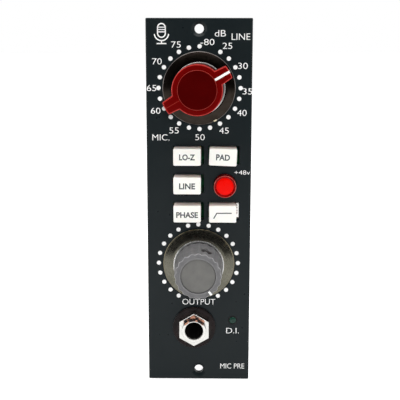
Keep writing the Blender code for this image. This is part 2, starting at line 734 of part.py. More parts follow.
def chassis():
    tray = chassis_tray()
    root_x, end_x = CHASSIS_LEFT + SHEET / 2, MAIN_BOARD_X - GAP
    posts = [placed(facing_right(rod(BOARD_POST_R, -end_x, -root_x)), 0.0, y, z) for y, z in BOARD_SCREWS]
    join(tray, together(posts))
    cut(tray, together(chassis_holes() + chassis_vents()))
    slot_half = TONGUE_HALF + 1.0 * MM
    low = (MAIN_BOARD_X - 1.0 * MM, CHASSIS_DEPTH - 2 * SHEET, PANEL_MID_Z - slot_half)
    high = (MAIN_BOARD_X + BOARD_T + 1.0 * MM, CHASSIS_DEPTH + SHEET, PANEL_MID_Z + slot_half)
    cut(tray, block(low, high))


def side_cover():
    """The flat vented plate on the right, with countersunk screw holes and a finger notch at its rear."""
    low = (CHASSIS_RIGHT + GAP, 0.6 * MM, CHASSIS_BOTTOM)
    high = (CHASSIS_RIGHT + GAP + COVER_T, CHASSIS_DEPTH, CHASSIS_TOP)
    cover = piece("side_cover", block(low, high), "steel")
    tools = []
    outer = high[0]
    sink_r, hole_r = 2.6 * MM, 1.6 * MM
    sink = [(0, -MM), (sink_r, -MM), (sink_r, 0), (hole_r, MM), (hole_r, 2 * MM), (0, 2 * MM)]
    tools += [placed(facing_right(turned(sink, 16)), outer, y, z) for y, z in cover_screw_places()]
    for column in range(3):
        for row in range(7):
            y, z = (48 + 22 * column) * MM, PANEL_MID_Z + (row - 3) * 9 * MM
            tools.append(placed(facing_right(vent()), outer, y, z))
    notch_low = (0.0, CHASSIS_DEPTH - NOTCH_DEPTH, PANEL_MID_Z - NOTCH_H / 2)
    tools.append(block(notch_low, (PANEL_W, CHASSIS_DEPTH + MM, PANEL_MID_Z + NOTCH_H / 2)))
    cut(cover, together(tools))


def cover_screws():
    outer = CHASSIS_RIGHT + GAP + COVER_T
    profile = [(0, 0.1 * MM), (2.25 * MM, 0.1 * MM), (SCREW_R, 1.1 * MM), (SCREW_R, 6.5 * MM), (0, 6.5 * MM)]
    for i, (y, z) in enumerate(cover_screw_places(), 1):
        screw = piece(f"cover_screw_{i}", facing_right(turned(profile, 16)), "zinc", at=(outer, y, z))
        bar, deep = 0.35 * MM, 0.7 * MM
        cut(screw, block((-deep, -1.3 * MM, -bar), (MM, 1.3 * MM, bar)))
        cut(screw, block((-deep, -bar, -1.3 * MM), (MM, bar, 1.3 * MM)))


def panel_nuts():
    """The nuts that clamp the chassis tabs to the panel's studs."""
    base = SHEET + GAP
    for i, (x, z) in enumerate(stud_places(), 1):
        shape = prism(hexagon(5.5 * MM), base, base + 2.4 * MM)
        nut = piece(f"panel_nut_{i}", shape, "zinc", at=(x, 0.0, z))
        cut(nut, rod(STUD_R + GAP, 0.0, 6 * MM))


# ---------------------------------------------------------------- boards and what they carry


def is_tongue_corner(edge):
    near, far = (vertex.co for vertex in edge.verts)
    return min(near.y, far.y) > TONGUE_END_Y - MM and abs(near.x - far.x) > MM


def main_board():
    """The upright board; its tongue is the card edge that plugs into the rack."""
    x0, x1 = MAIN_BOARD_X, MAIN_BOARD_X + BOARD_T
    low, high = MAIN_BOARD_Z
    board = piece("main_board", block((x0, MAIN_BOARD_FRONT_Y, low), (x1, MAIN_BOARD_REAR_Y, high)), "board")
    mid = PANEL_MID_Z
    root = MAIN_BOARD_REAR_Y - 5 * MM
    tongue = block((x0, root, mid - TONGUE_HALF), (x1, TONGUE_END_Y, mid + TONGUE_HALF))
    soften(tongue, 1.0 * MM, 1, is_tongue_corner)
    join(board, tongue)
    middle = (x0 + x1) / 2
    hole_r = SCREW_R + GAP
    holes = [placed(facing_right(rod(hole_r, -BOARD_T, BOARD_T)), middle, y, z) for y, z in BOARD_SCREWS]
    cut(board, together(holes))


def board_screws():
    seat = MAIN_BOARD_X + BOARD_T + GAP
    shank = seat - CHASSIS_LEFT - GAP
    profile = [(0, -1.8 * MM), (2.0 * MM, -1.8 * MM), (2.5 * MM, -1.2 * MM), (2.5 * MM, 0), (SCREW_R, 0)]
    profile += [(SCREW_R, shank), (0, shank)]
    for i, (y, z) in enumerate(BOARD_SCREWS, 1):
        piece(f"board_screw_{i}", facing_right(turned(profile, 16)), "zinc", at=(seat, y, z))


def front_board():
    """The small board behind the panel that carries the push switches."""
    (x0, z0), (x1, z1) = FRONT_BOARD
    piece("front_board", block((x0, FRONT_BOARD_Y, z0), (x1, FRONT_BOARD_Y + BOARD_T, z1)), "board")


def on_board():
    """The x of the main board's component face, with the gap left under a component."""
    return MAIN_BOARD_X + BOARD_T + GAP


def transformer(name, low_yz, high_yz, height):
    """A screening can with a turned-out foot at its base."""
    x0 = on_board()
    (y0, z0), (y1, z1) = low_yz, high_yz
    can = block((x0, y0, z0), (x0 + height, y1, z1))
    soften(can, 1.5 * MM, 3, lambda edge: abs(edge.verts[0].co.x - edge.verts[1].co.x) > height / 2)
    top = x0 + height - 0.01 * MM
    soften(can, 0.8 * MM, 2, lambda edge: min(v.co.x for v in edge.verts) > top)
    made = piece(name, can, "transformer")
    foot = 1.6 * MM
    join(made, block((x0, y0 - 4 * MM, z0 + 4 * MM), (x0 + foot, y1 + 4 * MM, z1 - 4 * MM)))


def supply_capacitors():
    x0, length, radius, edge = on_board(), 22 * MM, 6.2 * MM, 0.6 * MM
    for i, y in enumerate((62 * MM, 77 * MM), 1):
        profile = [(0, -length), (radius - edge, -length), (radius, -length + edge), (radius, -2.6 * MM)]
        profile += [(radius - 0.5 * MM, -2.0 * MM), (radius, -1.4 * MM), (radius, 0), (0, 0)]
        piece(f"supply_capacitor_{i}", facing_right(turned(profile, 24)), "capacitor", at=(x0, y, 24 * MM))


def relay():
    x0 = on_board()
    body = block((x0, 60 * MM, 42 * MM), (x0 + 10 * MM, 80 * MM, 52 * MM))
    soften(body, 0.5 * MM, 1, lambda edge: min(v.co.x for v in edge.verts) > x0 + MM)
    piece("phase_relay", body, "relay")


def heat_sink():
    """A finned aluminium block that stands on the board."""
    x0, height, base, fin = on_board(), 20 * MM, 2.4 * MM, 1.4 * MM
    y0, y1, z0, z1 = 100 * MM, 126 * MM, 88 * MM, 108 * MM
    sink = piece("heat_sink", block((x0, y0, z0), (x0 + height, y1, z1)), "transformer")
    gaps, count = [], 5
    pitch = (z1 - z0 - fin) / count
    for i in range(count):
        start = z0 + fin + i * pitch
        gaps.append(block((x0 - MM, y0 + base, start), (x0 + height + MM, y1 + MM, start + pitch - fin)))
    cut(sink, together(gaps))


def power_transistor():
    """A flat regulator package clamped to the heat sink's flat side."""
    x0, y1 = on_board() + 3 * MM, 100 * MM - GAP
    package = block((x0, y1 - 4.4 * MM, 93 * MM), (x0 + 15 * MM, y1, 103 * MM))
    piece("regulator", package, "black_plastic")


def front_ribbon():
    """The flat cable between the two boards, folded once."""
    start_y, end_y = FRONT_BOARD_Y + BOARD_T + GAP, 38 * MM
    near_x, far_x = -4.0 * MM, on_board()
    thick, bend = 1.0 * MM, 4.0 * MM
    centre_line = [(near_x, start_y), (near_x, start_y + 8 * MM)]
    for i in range(1, 7):
        a = math.pi / 2 * i / 6
        centre_line.append((near_x - bend * (1 - math.cos(a)), start_y + 8 * MM + bend * math.sin(a)))
    centre_line += [(far_x + thick + MM, centre_line[-1][1])]
    bm = bmesh.new()
    z0, z1 = 68 * MM, 82 * MM
    sides = []
    for i, (x, y) in enumerate(centre_line):
        before, after = centre_line[max(i - 1, 0)], centre_line[min(i + 1, len(centre_line) - 1)]
        dx, dy = after[0] - before[0], after[1] - before[1]
        size = math.hypot(dx, dy)
        nx, ny = dy / size * thick / 2, -dx / size * thick / 2
        corners = ((x + nx, y + ny, z0), (x + nx, y + ny, z1), (x - nx, y - ny, z1), (x - nx, y - ny, z0))
        sides.append([bm.verts.new(corner) for corner in corners])
    for near, far in zip(sides, sides[1:]):
        for i in range(4):
            j = (i + 1) % 4
            bm.faces.new((near[i], near[j], far[j], far[i]))
    bm.faces.new(sides[0])
    bm.faces.new(reversed(sides[-1]))
    bmesh.ops.recalc_face_normals(bm, faces=bm.faces)
    piece("front_ribbon", bm, "ribbon")


def build():
    for old in list(bpy.data.objects):
        bpy.data.objects.remove(old)
    front_panel()
    gain_knob_group()
    output_knob_group()
    gain_switch()
    output_pot()
    fixing_nut("gain_nut", GAIN)
    fixing_nut("output_nut", OUTPUT)
    push_buttons()
    phantom_button()
    jack_body()
    jack_washer()
    jack_nut()
    di_led()
    chassis()
    side_cover()
    cover_screws()
    panel_nuts()
    main_board()
    board_screws()
    front_board()
    transformer("input_transformer", (48 * MM, 88 * MM), (74 * MM, 114 * MM), 22 * MM)
    transformer("output_transformer", (94 * MM, 20 * MM), (130 * MM, 54 * MM), 25 * MM)
    supply_capacitors()
    relay()
    heat_sink()
    power_transistor()
    front_ribbon()


build()
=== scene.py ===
import math

import bmesh
import bpy
from mathutils import Matrix, Vector


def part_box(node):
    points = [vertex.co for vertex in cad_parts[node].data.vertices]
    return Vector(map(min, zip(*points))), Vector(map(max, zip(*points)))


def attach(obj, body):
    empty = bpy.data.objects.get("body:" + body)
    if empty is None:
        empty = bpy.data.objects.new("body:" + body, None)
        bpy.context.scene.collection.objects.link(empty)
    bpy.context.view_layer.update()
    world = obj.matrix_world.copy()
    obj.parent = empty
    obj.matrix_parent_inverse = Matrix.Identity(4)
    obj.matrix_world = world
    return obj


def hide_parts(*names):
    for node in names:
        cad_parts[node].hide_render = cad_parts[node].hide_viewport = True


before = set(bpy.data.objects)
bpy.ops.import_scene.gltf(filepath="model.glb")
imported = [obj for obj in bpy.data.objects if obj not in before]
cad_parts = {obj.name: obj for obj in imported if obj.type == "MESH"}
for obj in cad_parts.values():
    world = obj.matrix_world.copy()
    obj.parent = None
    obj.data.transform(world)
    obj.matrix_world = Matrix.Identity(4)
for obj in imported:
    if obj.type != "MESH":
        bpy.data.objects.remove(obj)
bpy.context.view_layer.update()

MM = 0.001
GAIN_POINTER_DEG = 60.0
OUTPUT_POINTER_DEG = 145.0
GRIP_OFFSET = 0.45 * MM  # the gain grip stands this far left of its axis
FLUTES = 20
SCALE_RADIUS = 14.5 * MM
SCALE_STEP_DEG = 15
DOT_RADIUS = 0.78 * MM
TEXT_HEIGHT = 2.15 * MM
KNOB_BORE = 7.4
FACE_DEPTH = 0.9
SHARP = math.radians(32)


def centre(node):
    low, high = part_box(node)
    return (low + high) / 2


PANEL_LOW, PANEL_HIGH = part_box("front_panel")
FACE_Y = PANEL_LOW.y
PANEL_MID_Z = (PANEL_LOW.z + PANEL_HIGH.z) / 2


def y_at(height):
    """The y of a height in millimetres in front of the panel's face."""
    return FACE_Y - height * MM


# Node tools


class Nodes:
    """Makes and joins the nodes of one tree. A value is a number, a colour or an output."""

    def __init__(self, tree):
        self.tree = tree

    def join(self, socket, value):
        if isinstance(value, bpy.types.NodeSocket):
            self.tree.links.new(value, socket)
        else:
            socket.default_value = value

    def node(self, kind, inputs=None, **settings):
        made = self.tree.nodes.new(kind)
        for key, value in settings.items():
            setattr(made, key, value)
        for key, value in (inputs or {}).items():
            self.join(made.inputs[key], value)
        return made

    def maths(self, operation, first, second=0.5):
        return self.node("ShaderNodeMath", {0: first, 1: second}, operation=operation).outputs[0]

    def times(self, first, second):
        return self.maths("MULTIPLY", first, second)

    def plus(self, first, second):
        return self.maths("ADD", first, second)

    def spread(self, value, low=0.0, high=1.0, from_low=0.3, from_high=0.7):
        """Takes a range, by default the useful middle of a noise, to low and high."""
        inputs = {"Value": value, "From Min": from_low, "From Max": from_high, "To Min": low,
                  "To Max": high}
        return self.node("ShaderNodeMapRange", inputs, clamp=True).outputs[0]

    def either(self, share, first, second):
        """A number that goes from first to second."""
        inputs = {0: share, 2: first, 3: second}
        return self.node("ShaderNodeMix", inputs, data_type="FLOAT").outputs[0]

    def parts(self, vector):
        return self.node("ShaderNodeSeparateXYZ", {"Vector": vector}).outputs

    def camera_ray(self):
        return self.node("ShaderNodeLightPath").outputs["Is Camera Ray"]


class Finish(Nodes):
    """A material made from one Principled shader, in the object's own coordinates."""

    def __init__(self, name, **shader_values):
        self.made = bpy.data.materials.new(name)
        self.made.use_nodes = True
        super().__init__(self.made.node_tree)
        self.shader = self.tree.nodes["Principled BSDF"]
        for key, value in shader_values.items():
            self.shader.inputs[key.replace("_", " ")].default_value = value
        self.where = self.node("ShaderNodeTexCoord").outputs["Object"]

    def set(self, name, value):
        self.join(self.shader.inputs[name], value)

    def noise(self, scale, detail=3.0, rough=0.55, at=None):
        inputs = {"Vector": self.where if at is None else at, "Scale": scale, "Detail": detail,
                  "Roughness": rough}
        return self.node("ShaderNodeTexNoise", inputs).outputs["Fac"]

    def mixed(self, share, first, second):
        """A colour that goes from first to second."""
        ends = [c if isinstance(c, bpy.types.NodeSocket) else (*c, 1.0) for c in (first, second)]
        inputs = {0: share, 6: ends[0], 7: ends[1]}
        return self.node("ShaderNodeMix", inputs, data_type="RGBA").outputs[2]

    def bump(self, height, strength, distance):
        inputs = {"Height": height, "Strength": strength, "Distance": distance * MM}
        self.set("Normal", self.node("ShaderNodeBump", inputs).outputs[0])

    def edges(self, low=0.53, high=0.6):
        """1 on outer edges and 0 on flats."""
        return self.spread(self.node("ShaderNodeNewGeometry").outputs["Pointiness"], 0.0, 1.0, low,
                           high)

    def radius(self):
        """The distance from the object's own Y axis."""
        x, _, z = self.parts(self.where)
        squares = self.plus(self.maths("POWER", x, 2.0), self.maths("POWER", z, 2.0))
        return self.maths("POWER", squares, 0.5)


# Materials


def plastic(name, colour, other, roughness, patches=140.0, wear_and_painted_light=None, **values):
    """Moulded plastic: uneven colour, gloss dulled by fingers, fine grain, and edges painted
    lighter, partly as wear and partly as a painted highlight.
    """
    values.setdefault("Specular_IOR_Level", 0.2)
    mat = Finish(name, **values)
    cloud = mat.spread(mat.noise(patches, 4))
    base = mat.mixed(cloud, colour, other)
    # Lighter edges: partly wear, partly a painted highlight.
    if wear_and_painted_light:
        wear_and_edge_highlight = mat.times(mat.edges(), mat.spread(mat.noise(patches * 5, 3), 0.2, 1.0))
        base = mat.mixed(wear_and_edge_highlight, base, wear_and_painted_light)
    mat.set("Base Color", base)
    gloss = mat.spread(mat.noise(patches * 2.3, 5, 0.65), roughness[0], roughness[1])
    mat.set("Roughness", gloss)
    mat.bump(mat.noise(2600.0, 3), 0.12, 0.02)
    return mat.made


def metal(name, colour, other, roughness, stretch=(1.0, 1.0, 1.0), scale=900.0):
    """Plated or brushed metal: streaks in colour and gloss along the brushing, faint scratches."""
    mat = Finish(name, Metallic=1.0)
    along = mat.node("ShaderNodeMapping", {"Vector": mat.where, "Scale": stretch}).outputs[0]
    streak = mat.noise(scale, 4, 0.6, along)
    stain = mat.spread(mat.noise(60.0, 4))
    base = mat.mixed(mat.times(stain, mat.spread(streak, 0.4, 1.0)), colour, other)
    mat.set("Base Color", base)
    mat.set("Roughness", mat.spread(streak, roughness[0], roughness[1]))
    mat.bump(streak, 0.15, 0.01)
    return mat.made


def panel_paint(name, rubbed):
    """Satin paint over aluminium: orange peel, a few dust specks, edges rubbed a little lighter."""
    mat = Finish(name, Specular_IOR_Level=0.24)
    cloud = mat.spread(mat.noise(45.0, 4))
    base = mat.mixed(cloud, (0.0066, 0.0108, 0.0126), (0.0092, 0.0134, 0.0148))
    specks = mat.node("ShaderNodeTexVoronoi", {"Vector": mat.where, "Scale": 190.0}, feature="F1")
    speck = mat.spread(specks.outputs["Distance"], 1.0, 0.0, 0.018, 0.03)
    rare = mat.spread(mat.noise(95.0, 2), 0.0, 1.0, 0.60, 0.64)
    base = mat.mixed(mat.times(speck, rare), base, (0.12, 0.13, 0.13))
    if rubbed:
        base = mat.mixed(mat.times(mat.edges(0.55, 0.66), rubbed), base, (0.05, 0.055, 0.055))
    mat.set("Base Color", base)
    mat.set("Roughness", mat.spread(mat.noise(320.0, 4), 0.27, 0.35))
    peel = mat.plus(mat.noise(1800.0, 2), mat.times(mat.noise(7000.0, 2), 0.4))
    mat.bump(peel, 0.14, 0.02)
    return mat.made


def white_ink():
    """Screen-printed ink, a little thin in places."""
    mat = Finish("white_ink")
    thin = mat.spread(mat.noise(2400.0, 4), 0.0, 1.0, 0.45, 0.8)
    mat.set("Base Color", mat.mixed(thin, (0.95, 0.95, 0.94), (0.86, 0.865, 0.86)))
    mat.set("Roughness", mat.spread(thin, 0.45, 0.62, 0.0, 1.0))
    mat.bump(mat.noise(6000.0, 3), 0.15, 0.01)
    return mat.made


def dark_ink():
    mat = Finish("dark_ink")
    thin = mat.spread(mat.noise(3000.0, 4), 0.0, 1.0, 0.4, 0.75)
    mat.set("Base Color", mat.mixed(thin, (0.035, 0.037, 0.042), (0.13, 0.13, 0.14)))
    mat.set("Roughness", mat.spread(thin, 0.4, 0.6, 0.0, 1.0))
    mat.bump(mat.noise(6000.0, 3), 0.1, 0.01)
    return mat.made


def cap_ivory():
    """Ivory plastic: clean on the face, with painted shade that makes it darker and warmer towards
    the rear.
    """
    mat = Finish("cap_ivory", Subsurface_Weight=0.08, Subsurface_Scale=0.6 * MM, Coat_Weight=0.15)
    cloud = mat.spread(mat.noise(300.0, 4))
    clean = mat.mixed(cloud, (0.95, 0.94, 0.89), (0.92, 0.905, 0.85))
    # Painted shade: the sides are darker and warmer towards the rear, in patches.
    rear_shade = mat.mixed(cloud, (0.70, 0.56, 0.50), (0.78, 0.66, 0.59))
    depth = mat.parts(mat.where)["Y"]
    back = mat.spread(depth, 0.0, 1.0, y_at(4.9), y_at(3.4))
    rear_shade_mask = mat.times(back, mat.spread(mat.noise(160.0, 3), 0.55, 1.0))
    mat.set("Base Color", mat.mixed(rear_shade_mask, clean, rear_shade))
    mat.set("Roughness", mat.spread(mat.noise(500.0, 4), 0.3, 0.42))
    mat.bump(mat.noise(4200.0, 3), 0.1, 0.015)
    return mat.made


def skirt_bronze(name, colour, other, rim, roughness):
    """Anodised metal, satin, with faint turning marks round the axis, and its edges painted lighter
    as a highlight.
    """
    mat = Finish(name, Metallic=1.0)
    radius = mat.radius()
    cloud = mat.spread(mat.noise(260.0, 5, 0.7))
    base = mat.mixed(cloud, colour, other)
    across = mat.node("ShaderNodeCombineXYZ", {"X": radius}).outputs[0]
    flow = mat.noise(5200.0, 3, at=across)
    # Painted highlight: the edges turn towards the lighter rim colour.
    wear_and_edge_highlight = mat.times(mat.edges(0.52, 0.58), mat.spread(mat.noise(420.0, 3), 0.1, 1.0))
    mat.set("Base Color", mat.mixed(wear_and_edge_highlight, base, rim))
    gloss = mat.plus(mat.spread(flow, 0.0, 0.06),
                     mat.spread(cloud, roughness[0], roughness[1], 0.0, 1.0))
    mat.set("Roughness", gloss)
    mat.bump(mat.plus(flow, mat.noise(1500.0, 3)), 0.1, 0.02)
    return mat.made


def spun_metal(name, colour, roughness):
    """Turned aluminium: fine rings round the axis."""
    mat = Finish(name, Metallic=1.0)
    radius = mat.radius()
    turned = mat.node("ShaderNodeCombineXYZ",
                      {"X": radius, "Y": mat.parts(mat.where)["Y"]}).outputs[0]
    rings = mat.noise(9000.0, 3, at=turned)
    mat.set("Base Color", mat.mixed(rings, colour, tuple(c * 0.8 for c in colour)))
    mat.set("Roughness", mat.spread(rings, roughness[0], roughness[1]))
    mat.bump(rings, 0.08, 0.01)
    return mat.made


def plated_nut():
    """Bright nickel plate, with dark and copper blotches painted above the bore: painted shade and
    painted reflection on the nut's face, and brass showing on the neck's threads.
    """
    mat = Finish("plated_nut", Metallic=0.6)
    parts = mat.parts(mat.where)
    side = mat.maths("ABSOLUTE", parts["X"])
    above = mat.spread(parts["Z"], 0.0, 1.0, 2.0 * MM, 2.5 * MM)
    slope = mat.plus(parts["Z"], mat.times(side, 0.577))
    inside = mat.spread(slope, 1.0, 0.0, 5.88 * MM, 6.0 * MM)
    near = mat.spread(side, 1.0, 0.0, 3.6 * MM, 4.2 * MM)
    lip = mat.spread(mat.radius(), 0.0, 1.0, 3.62 * MM, 3.75 * MM)
    # Painted shade and painted reflection above the bore, in dark and copper blotches; on the
    # neck's threads it stands for brass.
    wear_and_painted_light = mat.times(mat.times(above, inside), mat.times(near, lip))
    ragged = mat.spread(mat.noise(700.0, 4, 0.7), 0.0, 1.0, 0.26, 0.38)
    wear_and_painted_light = mat.times(wear_and_painted_light, ragged)
    blotch = mat.spread(mat.noise(950.0, 2), 0.0, 1.0, 0.50, 0.60)
    shade_and_copper_tone = mat.mixed(blotch, (0.010, 0.008, 0.010), (0.60, 0.28, 0.18))
    plate = mat.mixed(mat.noise(500.0, 3), (0.97, 0.96, 0.92), (0.91, 0.90, 0.86))
    mat.set("Base Color", mat.mixed(wear_and_painted_light, plate, shade_and_copper_tone))
    mat.set("Roughness", mat.spread(mat.noise(2500.0, 4), 0.14, 0.26))
    mat.bump(mat.noise(2000.0, 3), 0.08, 0.01)
    return mat.made


def printed_board(name):
    """Solder resist over copper tracks."""
    mat = Finish(name, Coat_Weight=0.3, Coat_Roughness=0.15)
    cells = mat.node("ShaderNodeTexVoronoi", {"Vector": mat.where, "Scale": 240.0}, feature="F1",
                     distance="CHEBYCHEV")
    tracks = mat.spread(cells.outputs["Distance"], 0.0, 1.0, 0.42, 0.46)
    cloud = mat.spread(mat.noise(90.0, 3))
    resist = mat.mixed(cloud, (0.006, 0.075, 0.025), (0.008, 0.095, 0.035))
    mat.set("Base Color", mat.mixed(tracks, resist, (0.02, 0.17, 0.06)))
    mat.set("Roughness", mat.spread(mat.noise(600.0, 3), 0.25, 0.4))
    mat.bump(tracks, 0.4, 0.03)
    return mat.made


def red_lens_with_painted_glow():
    """A diffusing red lens with moulded grain, given a painted glow, and darker towards its edge.
    """
    # Painted glow: the lens gives off light of its own, with no lamp behind it.
    mat = Finish("red_lens", Specular_IOR_Level=0.12, Emission_Strength=0.5)
    radius = mat.radius()
    rim = mat.spread(radius, 0.0, 1.0, 2.5 * MM, 3.4 * MM)
    cloud = mat.spread(mat.noise(700.0, 3))
    lit = mat.mixed(cloud, (0.40, 0.0012, 0.0002), (0.34, 0.0010, 0.0002))
    mat.set("Base Color", mat.mixed(rim, lit, (0.30, 0.002, 0.001)))
    mat.set("Emission Color", mat.mixed(rim, (1.0, 0.004, 0.001), (0.9, 0.004, 0.002)))
    mat.set("Roughness", mat.spread(mat.noise(900.0, 3), 0.25, 0.38))
    mat.bump(mat.noise(5000.0, 2), 0.15, 0.02)
    return mat.made


LOOK = {
    "paint": panel_paint("panel_paint", 0.3),
    "paint_face": panel_paint("panel_paint_face", 0.0),
    "white_ink": white_ink(),
    "dark_ink": dark_ink(),
    "ivory": cap_ivory(),
    "red": plastic("knob_red", (0.108, 0.0004, 0.0004), (0.128, 0.0006, 0.0005), (0.34, 0.46),
                   Specular_IOR_Level=0.05),
    # Painted highlight: a light red for the gain grip's front bevels.
    "red_highlight_paint": plastic("knob_red_highlight_paint", (0.58, 0.055, 0.045), (0.34, 0.012, 0.010), (0.2, 0.3),
                        patches=900.0),
    "dark_red": plastic("disc_red", (0.050, 0.0002, 0.0002), (0.060, 0.0003, 0.0003), (0.5, 0.62),
                        patches=220.0,
                        Specular_IOR_Level=0.02),
    # Painted highlight: a light red for the face disc's rim and for the seam line.
    "red_line_highlight": plastic("red_line_highlight_paint", (0.34, 0.03, 0.02), (0.24, 0.015, 0.012), (0.3, 0.4)),
    "pointer": plastic("pointer_white", (0.95, 0.95, 0.93), (0.88, 0.88, 0.86), (0.35, 0.5),
                       patches=600.0),
    "cream": plastic("index_cream", (0.80, 0.72, 0.50), (0.68, 0.60, 0.42), (0.35, 0.5),
                     patches=600.0),
    "brown": skirt_bronze("skirt_brown", (0.030, 0.023, 0.018), (0.052, 0.042, 0.035),
                          (0.12, 0.10, 0.09), (0.15, 0.21)),
    # Painted highlights: lighter copies of the skirts, for the bands round their rims.
    "brown_rim": skirt_bronze("rim_brown_highlight_paint", (0.24, 0.22, 0.21), (0.14, 0.125, 0.12),
                              (0.3, 0.28, 0.26), (0.3, 0.4)),
    "olive": skirt_bronze("skirt_olive", (0.165, 0.160, 0.126), (0.245, 0.236, 0.19),
                          (0.40, 0.34, 0.20), (0.20, 0.28)),
    "olive_rim": skirt_bronze("rim_olive_highlight_paint", (0.36, 0.31, 0.20), (0.24, 0.21, 0.14),
                              (0.5, 0.44, 0.3), (0.3, 0.4)),
    "ring": spun_metal("spun_ring", (0.97, 0.97, 0.96), (0.24, 0.32)),
    # Painted shade: a darker copy of the spun ring, for the ring's face.
    "ring_painted_shade": spun_metal("spun_ring_painted_shade", (0.34, 0.34, 0.34), (0.30, 0.42)),
    "grip": plastic("grip_grey", (0.128, 0.127, 0.130), (0.176, 0.174, 0.178), (0.26, 0.42),
                    patches=380.0),
    # Painted highlight: a light grey for the output grip's front edge.
    "grip_highlight_paint": plastic("grey_highlight_paint", (0.36, 0.355, 0.36), (0.25, 0.245, 0.25), (0.25, 0.35),
                         patches=700.0),
    "grip_lip": plastic("lip_grey", (0.205, 0.203, 0.205), (0.17, 0.168, 0.17), (0.3, 0.4),
                        patches=700.0),
    "grip_disc": plastic("disc_grey", (0.140, 0.139, 0.132), (0.172, 0.169, 0.160), (0.42, 0.55),
                         patches=300.0),
    "black": plastic("plastic_black", (0.0045, 0.0045, 0.0050), (0.011, 0.0105, 0.011),
                     (0.30, 0.45),
                     wear_and_painted_light=(0.05, 0.045, 0.045)),
    "washer": plastic("washer_black", (0.0050, 0.0040, 0.0040), (0.014, 0.008, 0.008),
                      (0.22, 0.36), patches=420.0,
                      wear_and_painted_light=(0.07, 0.06, 0.055)),
    "button_rim": plastic("button_rim_red", (0.18, 0.0006, 0.0006), (0.28, 0.0010, 0.0008),
                          (0.18, 0.3), patches=500.0),
    # Painted highlight: a light red for the rim round the bezel's front.
    "button_highlight_paint": plastic("button_highlight_paint_red", (0.60, 0.16, 0.13), (0.34, 0.05, 0.04), (0.15, 0.25),
                           patches=900.0,
                           Specular_IOR_Level=0.5),
    "lens": red_lens_with_painted_glow(),
    "lamp": plastic("lamp_green", (0.006, 0.032, 0.022), (0.010, 0.045, 0.030), (0.12, 0.22),
                    patches=800.0,
                    Specular_IOR_Level=0.4),
    "nut": plated_nut(),
    "nut_flank": metal("nut_flank", (0.42, 0.41, 0.40), (0.26, 0.25, 0.25), (0.22, 0.34),
                       scale=1400.0),
    "steel": metal("chassis_steel", (0.47, 0.48, 0.49), (0.36, 0.37, 0.38), (0.28, 0.44),
                   (1.0, 1.0, 18.0), 420.0),
    "cover_steel": metal("cover_steel", (0.45, 0.46, 0.47), (0.35, 0.36, 0.37), (0.28, 0.44),
                         (1.0, 1.0, 18.0), 420.0),
    "gold": metal("contact_gold", (0.86, 0.62, 0.26), (0.74, 0.50, 0.20), (0.2, 0.32),
                  scale=900.0),
    "tin": metal("solder_tin", (0.66, 0.66, 0.66), (0.46, 0.46, 0.47), (0.25, 0.4), scale=1500.0),
    "resistor": plastic("resistor_blue", (0.10, 0.26, 0.42), (0.14, 0.32, 0.48), (0.3, 0.42),
                        patches=500.0),
    "film_cap": plastic("capacitor_film", (0.52, 0.10, 0.03), (0.60, 0.14, 0.04), (0.25, 0.4),
                        patches=400.0),
    "trimmer": plastic("trimmer_blue", (0.03, 0.09, 0.34), (0.04, 0.12, 0.40), (0.3, 0.42),
                       patches=500.0),
    "sticker": plastic("paper_label", (0.78, 0.77, 0.72), (0.70, 0.69, 0.63), (0.6, 0.72),
                       patches=300.0),
    "zinc": metal("fastener_zinc", (0.62, 0.62, 0.60), (0.45, 0.45, 0.42), (0.22, 0.4),
                  scale=1500.0),
    "can": metal("transformer_can", (0.52, 0.52, 0.55), (0.38, 0.38, 0.42), (0.25, 0.42),
                 (1.0, 6.0, 1.0), 500.0),
    "board": printed_board("board_green"),
    "sleeve": plastic("capacitor_sleeve", (0.010, 0.016, 0.045), (0.016, 0.024, 0.062),
                      (0.25, 0.38)),
    "relay": plastic("relay_case", (0.74, 0.71, 0.62), (0.66, 0.63, 0.54), (0.32, 0.45)),
    "ribbon": plastic("ribbon_grey", (0.32, 0.32, 0.34), (0.24, 0.24, 0.26), (0.45, 0.6)),
}

NODE_LOOKS = {
    "front_panel": "paint", "chassis": "steel", "side_cover": "cover_steel", "main_board": "board",
    "front_board": "board", "front_ribbon": "ribbon", "phase_relay": "relay", "heat_sink": "can",
    "input_transformer": "can", "output_transformer": "can", "supply_capacitor_1": "sleeve",
    "supply_capacitor_2": "sleeve", "regulator": "black", "jack_body": "black",
    "gain_switch": "black",
    "output_pot": "black", "gain_shaft": "zinc", "output_shaft": "zinc", "gain_nut": "zinc",
    "output_nut": "zinc",
}


def dress_cad_nodes():
    for name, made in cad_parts.items():
        wanted = NODE_LOOKS.get(name)
        if wanted is None:
            wanted = "zinc" if "screw" in name or "nut" in name else "black"
        made.data.materials.clear()
        made.data.materials.append(LOOK[wanted])


# Mesh tools


def filleted(points, closed=False, steps=4):
    """Rounds each corner given as (r, y, size)."""
    result = []
    count = len(points)
    for i, point in enumerate(points):
        corner, size = Vector(point[:2]), (point[2] if len(point) > 2 else 0.0)
        if not size or (not closed and i in (0, count - 1)):
            result.append(tuple(corner))
            continue
        before = Vector(points[i - 1][:2]) - corner
        after = Vector(points[(i + 1) % count][:2]) - corner
        reach = min(size, before.length * 0.49, after.length * 0.49)
        start, end = corner + before.normalized() * reach, corner + after.normalized() * reach
        for k in range(steps + 1):
            t = k / steps
            result.append(tuple(start * (1 - t) ** 2 + corner * 2 * t * (1 - t) + end * t ** 2))
    return result


def arc(radius, first, last, steps):
    """(x, z) points, with angles in degrees clockwise from the top, seen from the front."""
    angles = [math.radians(first + (last - first) * i / steps) for i in range(steps + 1)]
    return [(radius * math.sin(a), radius * math.cos(a)) for a in angles]


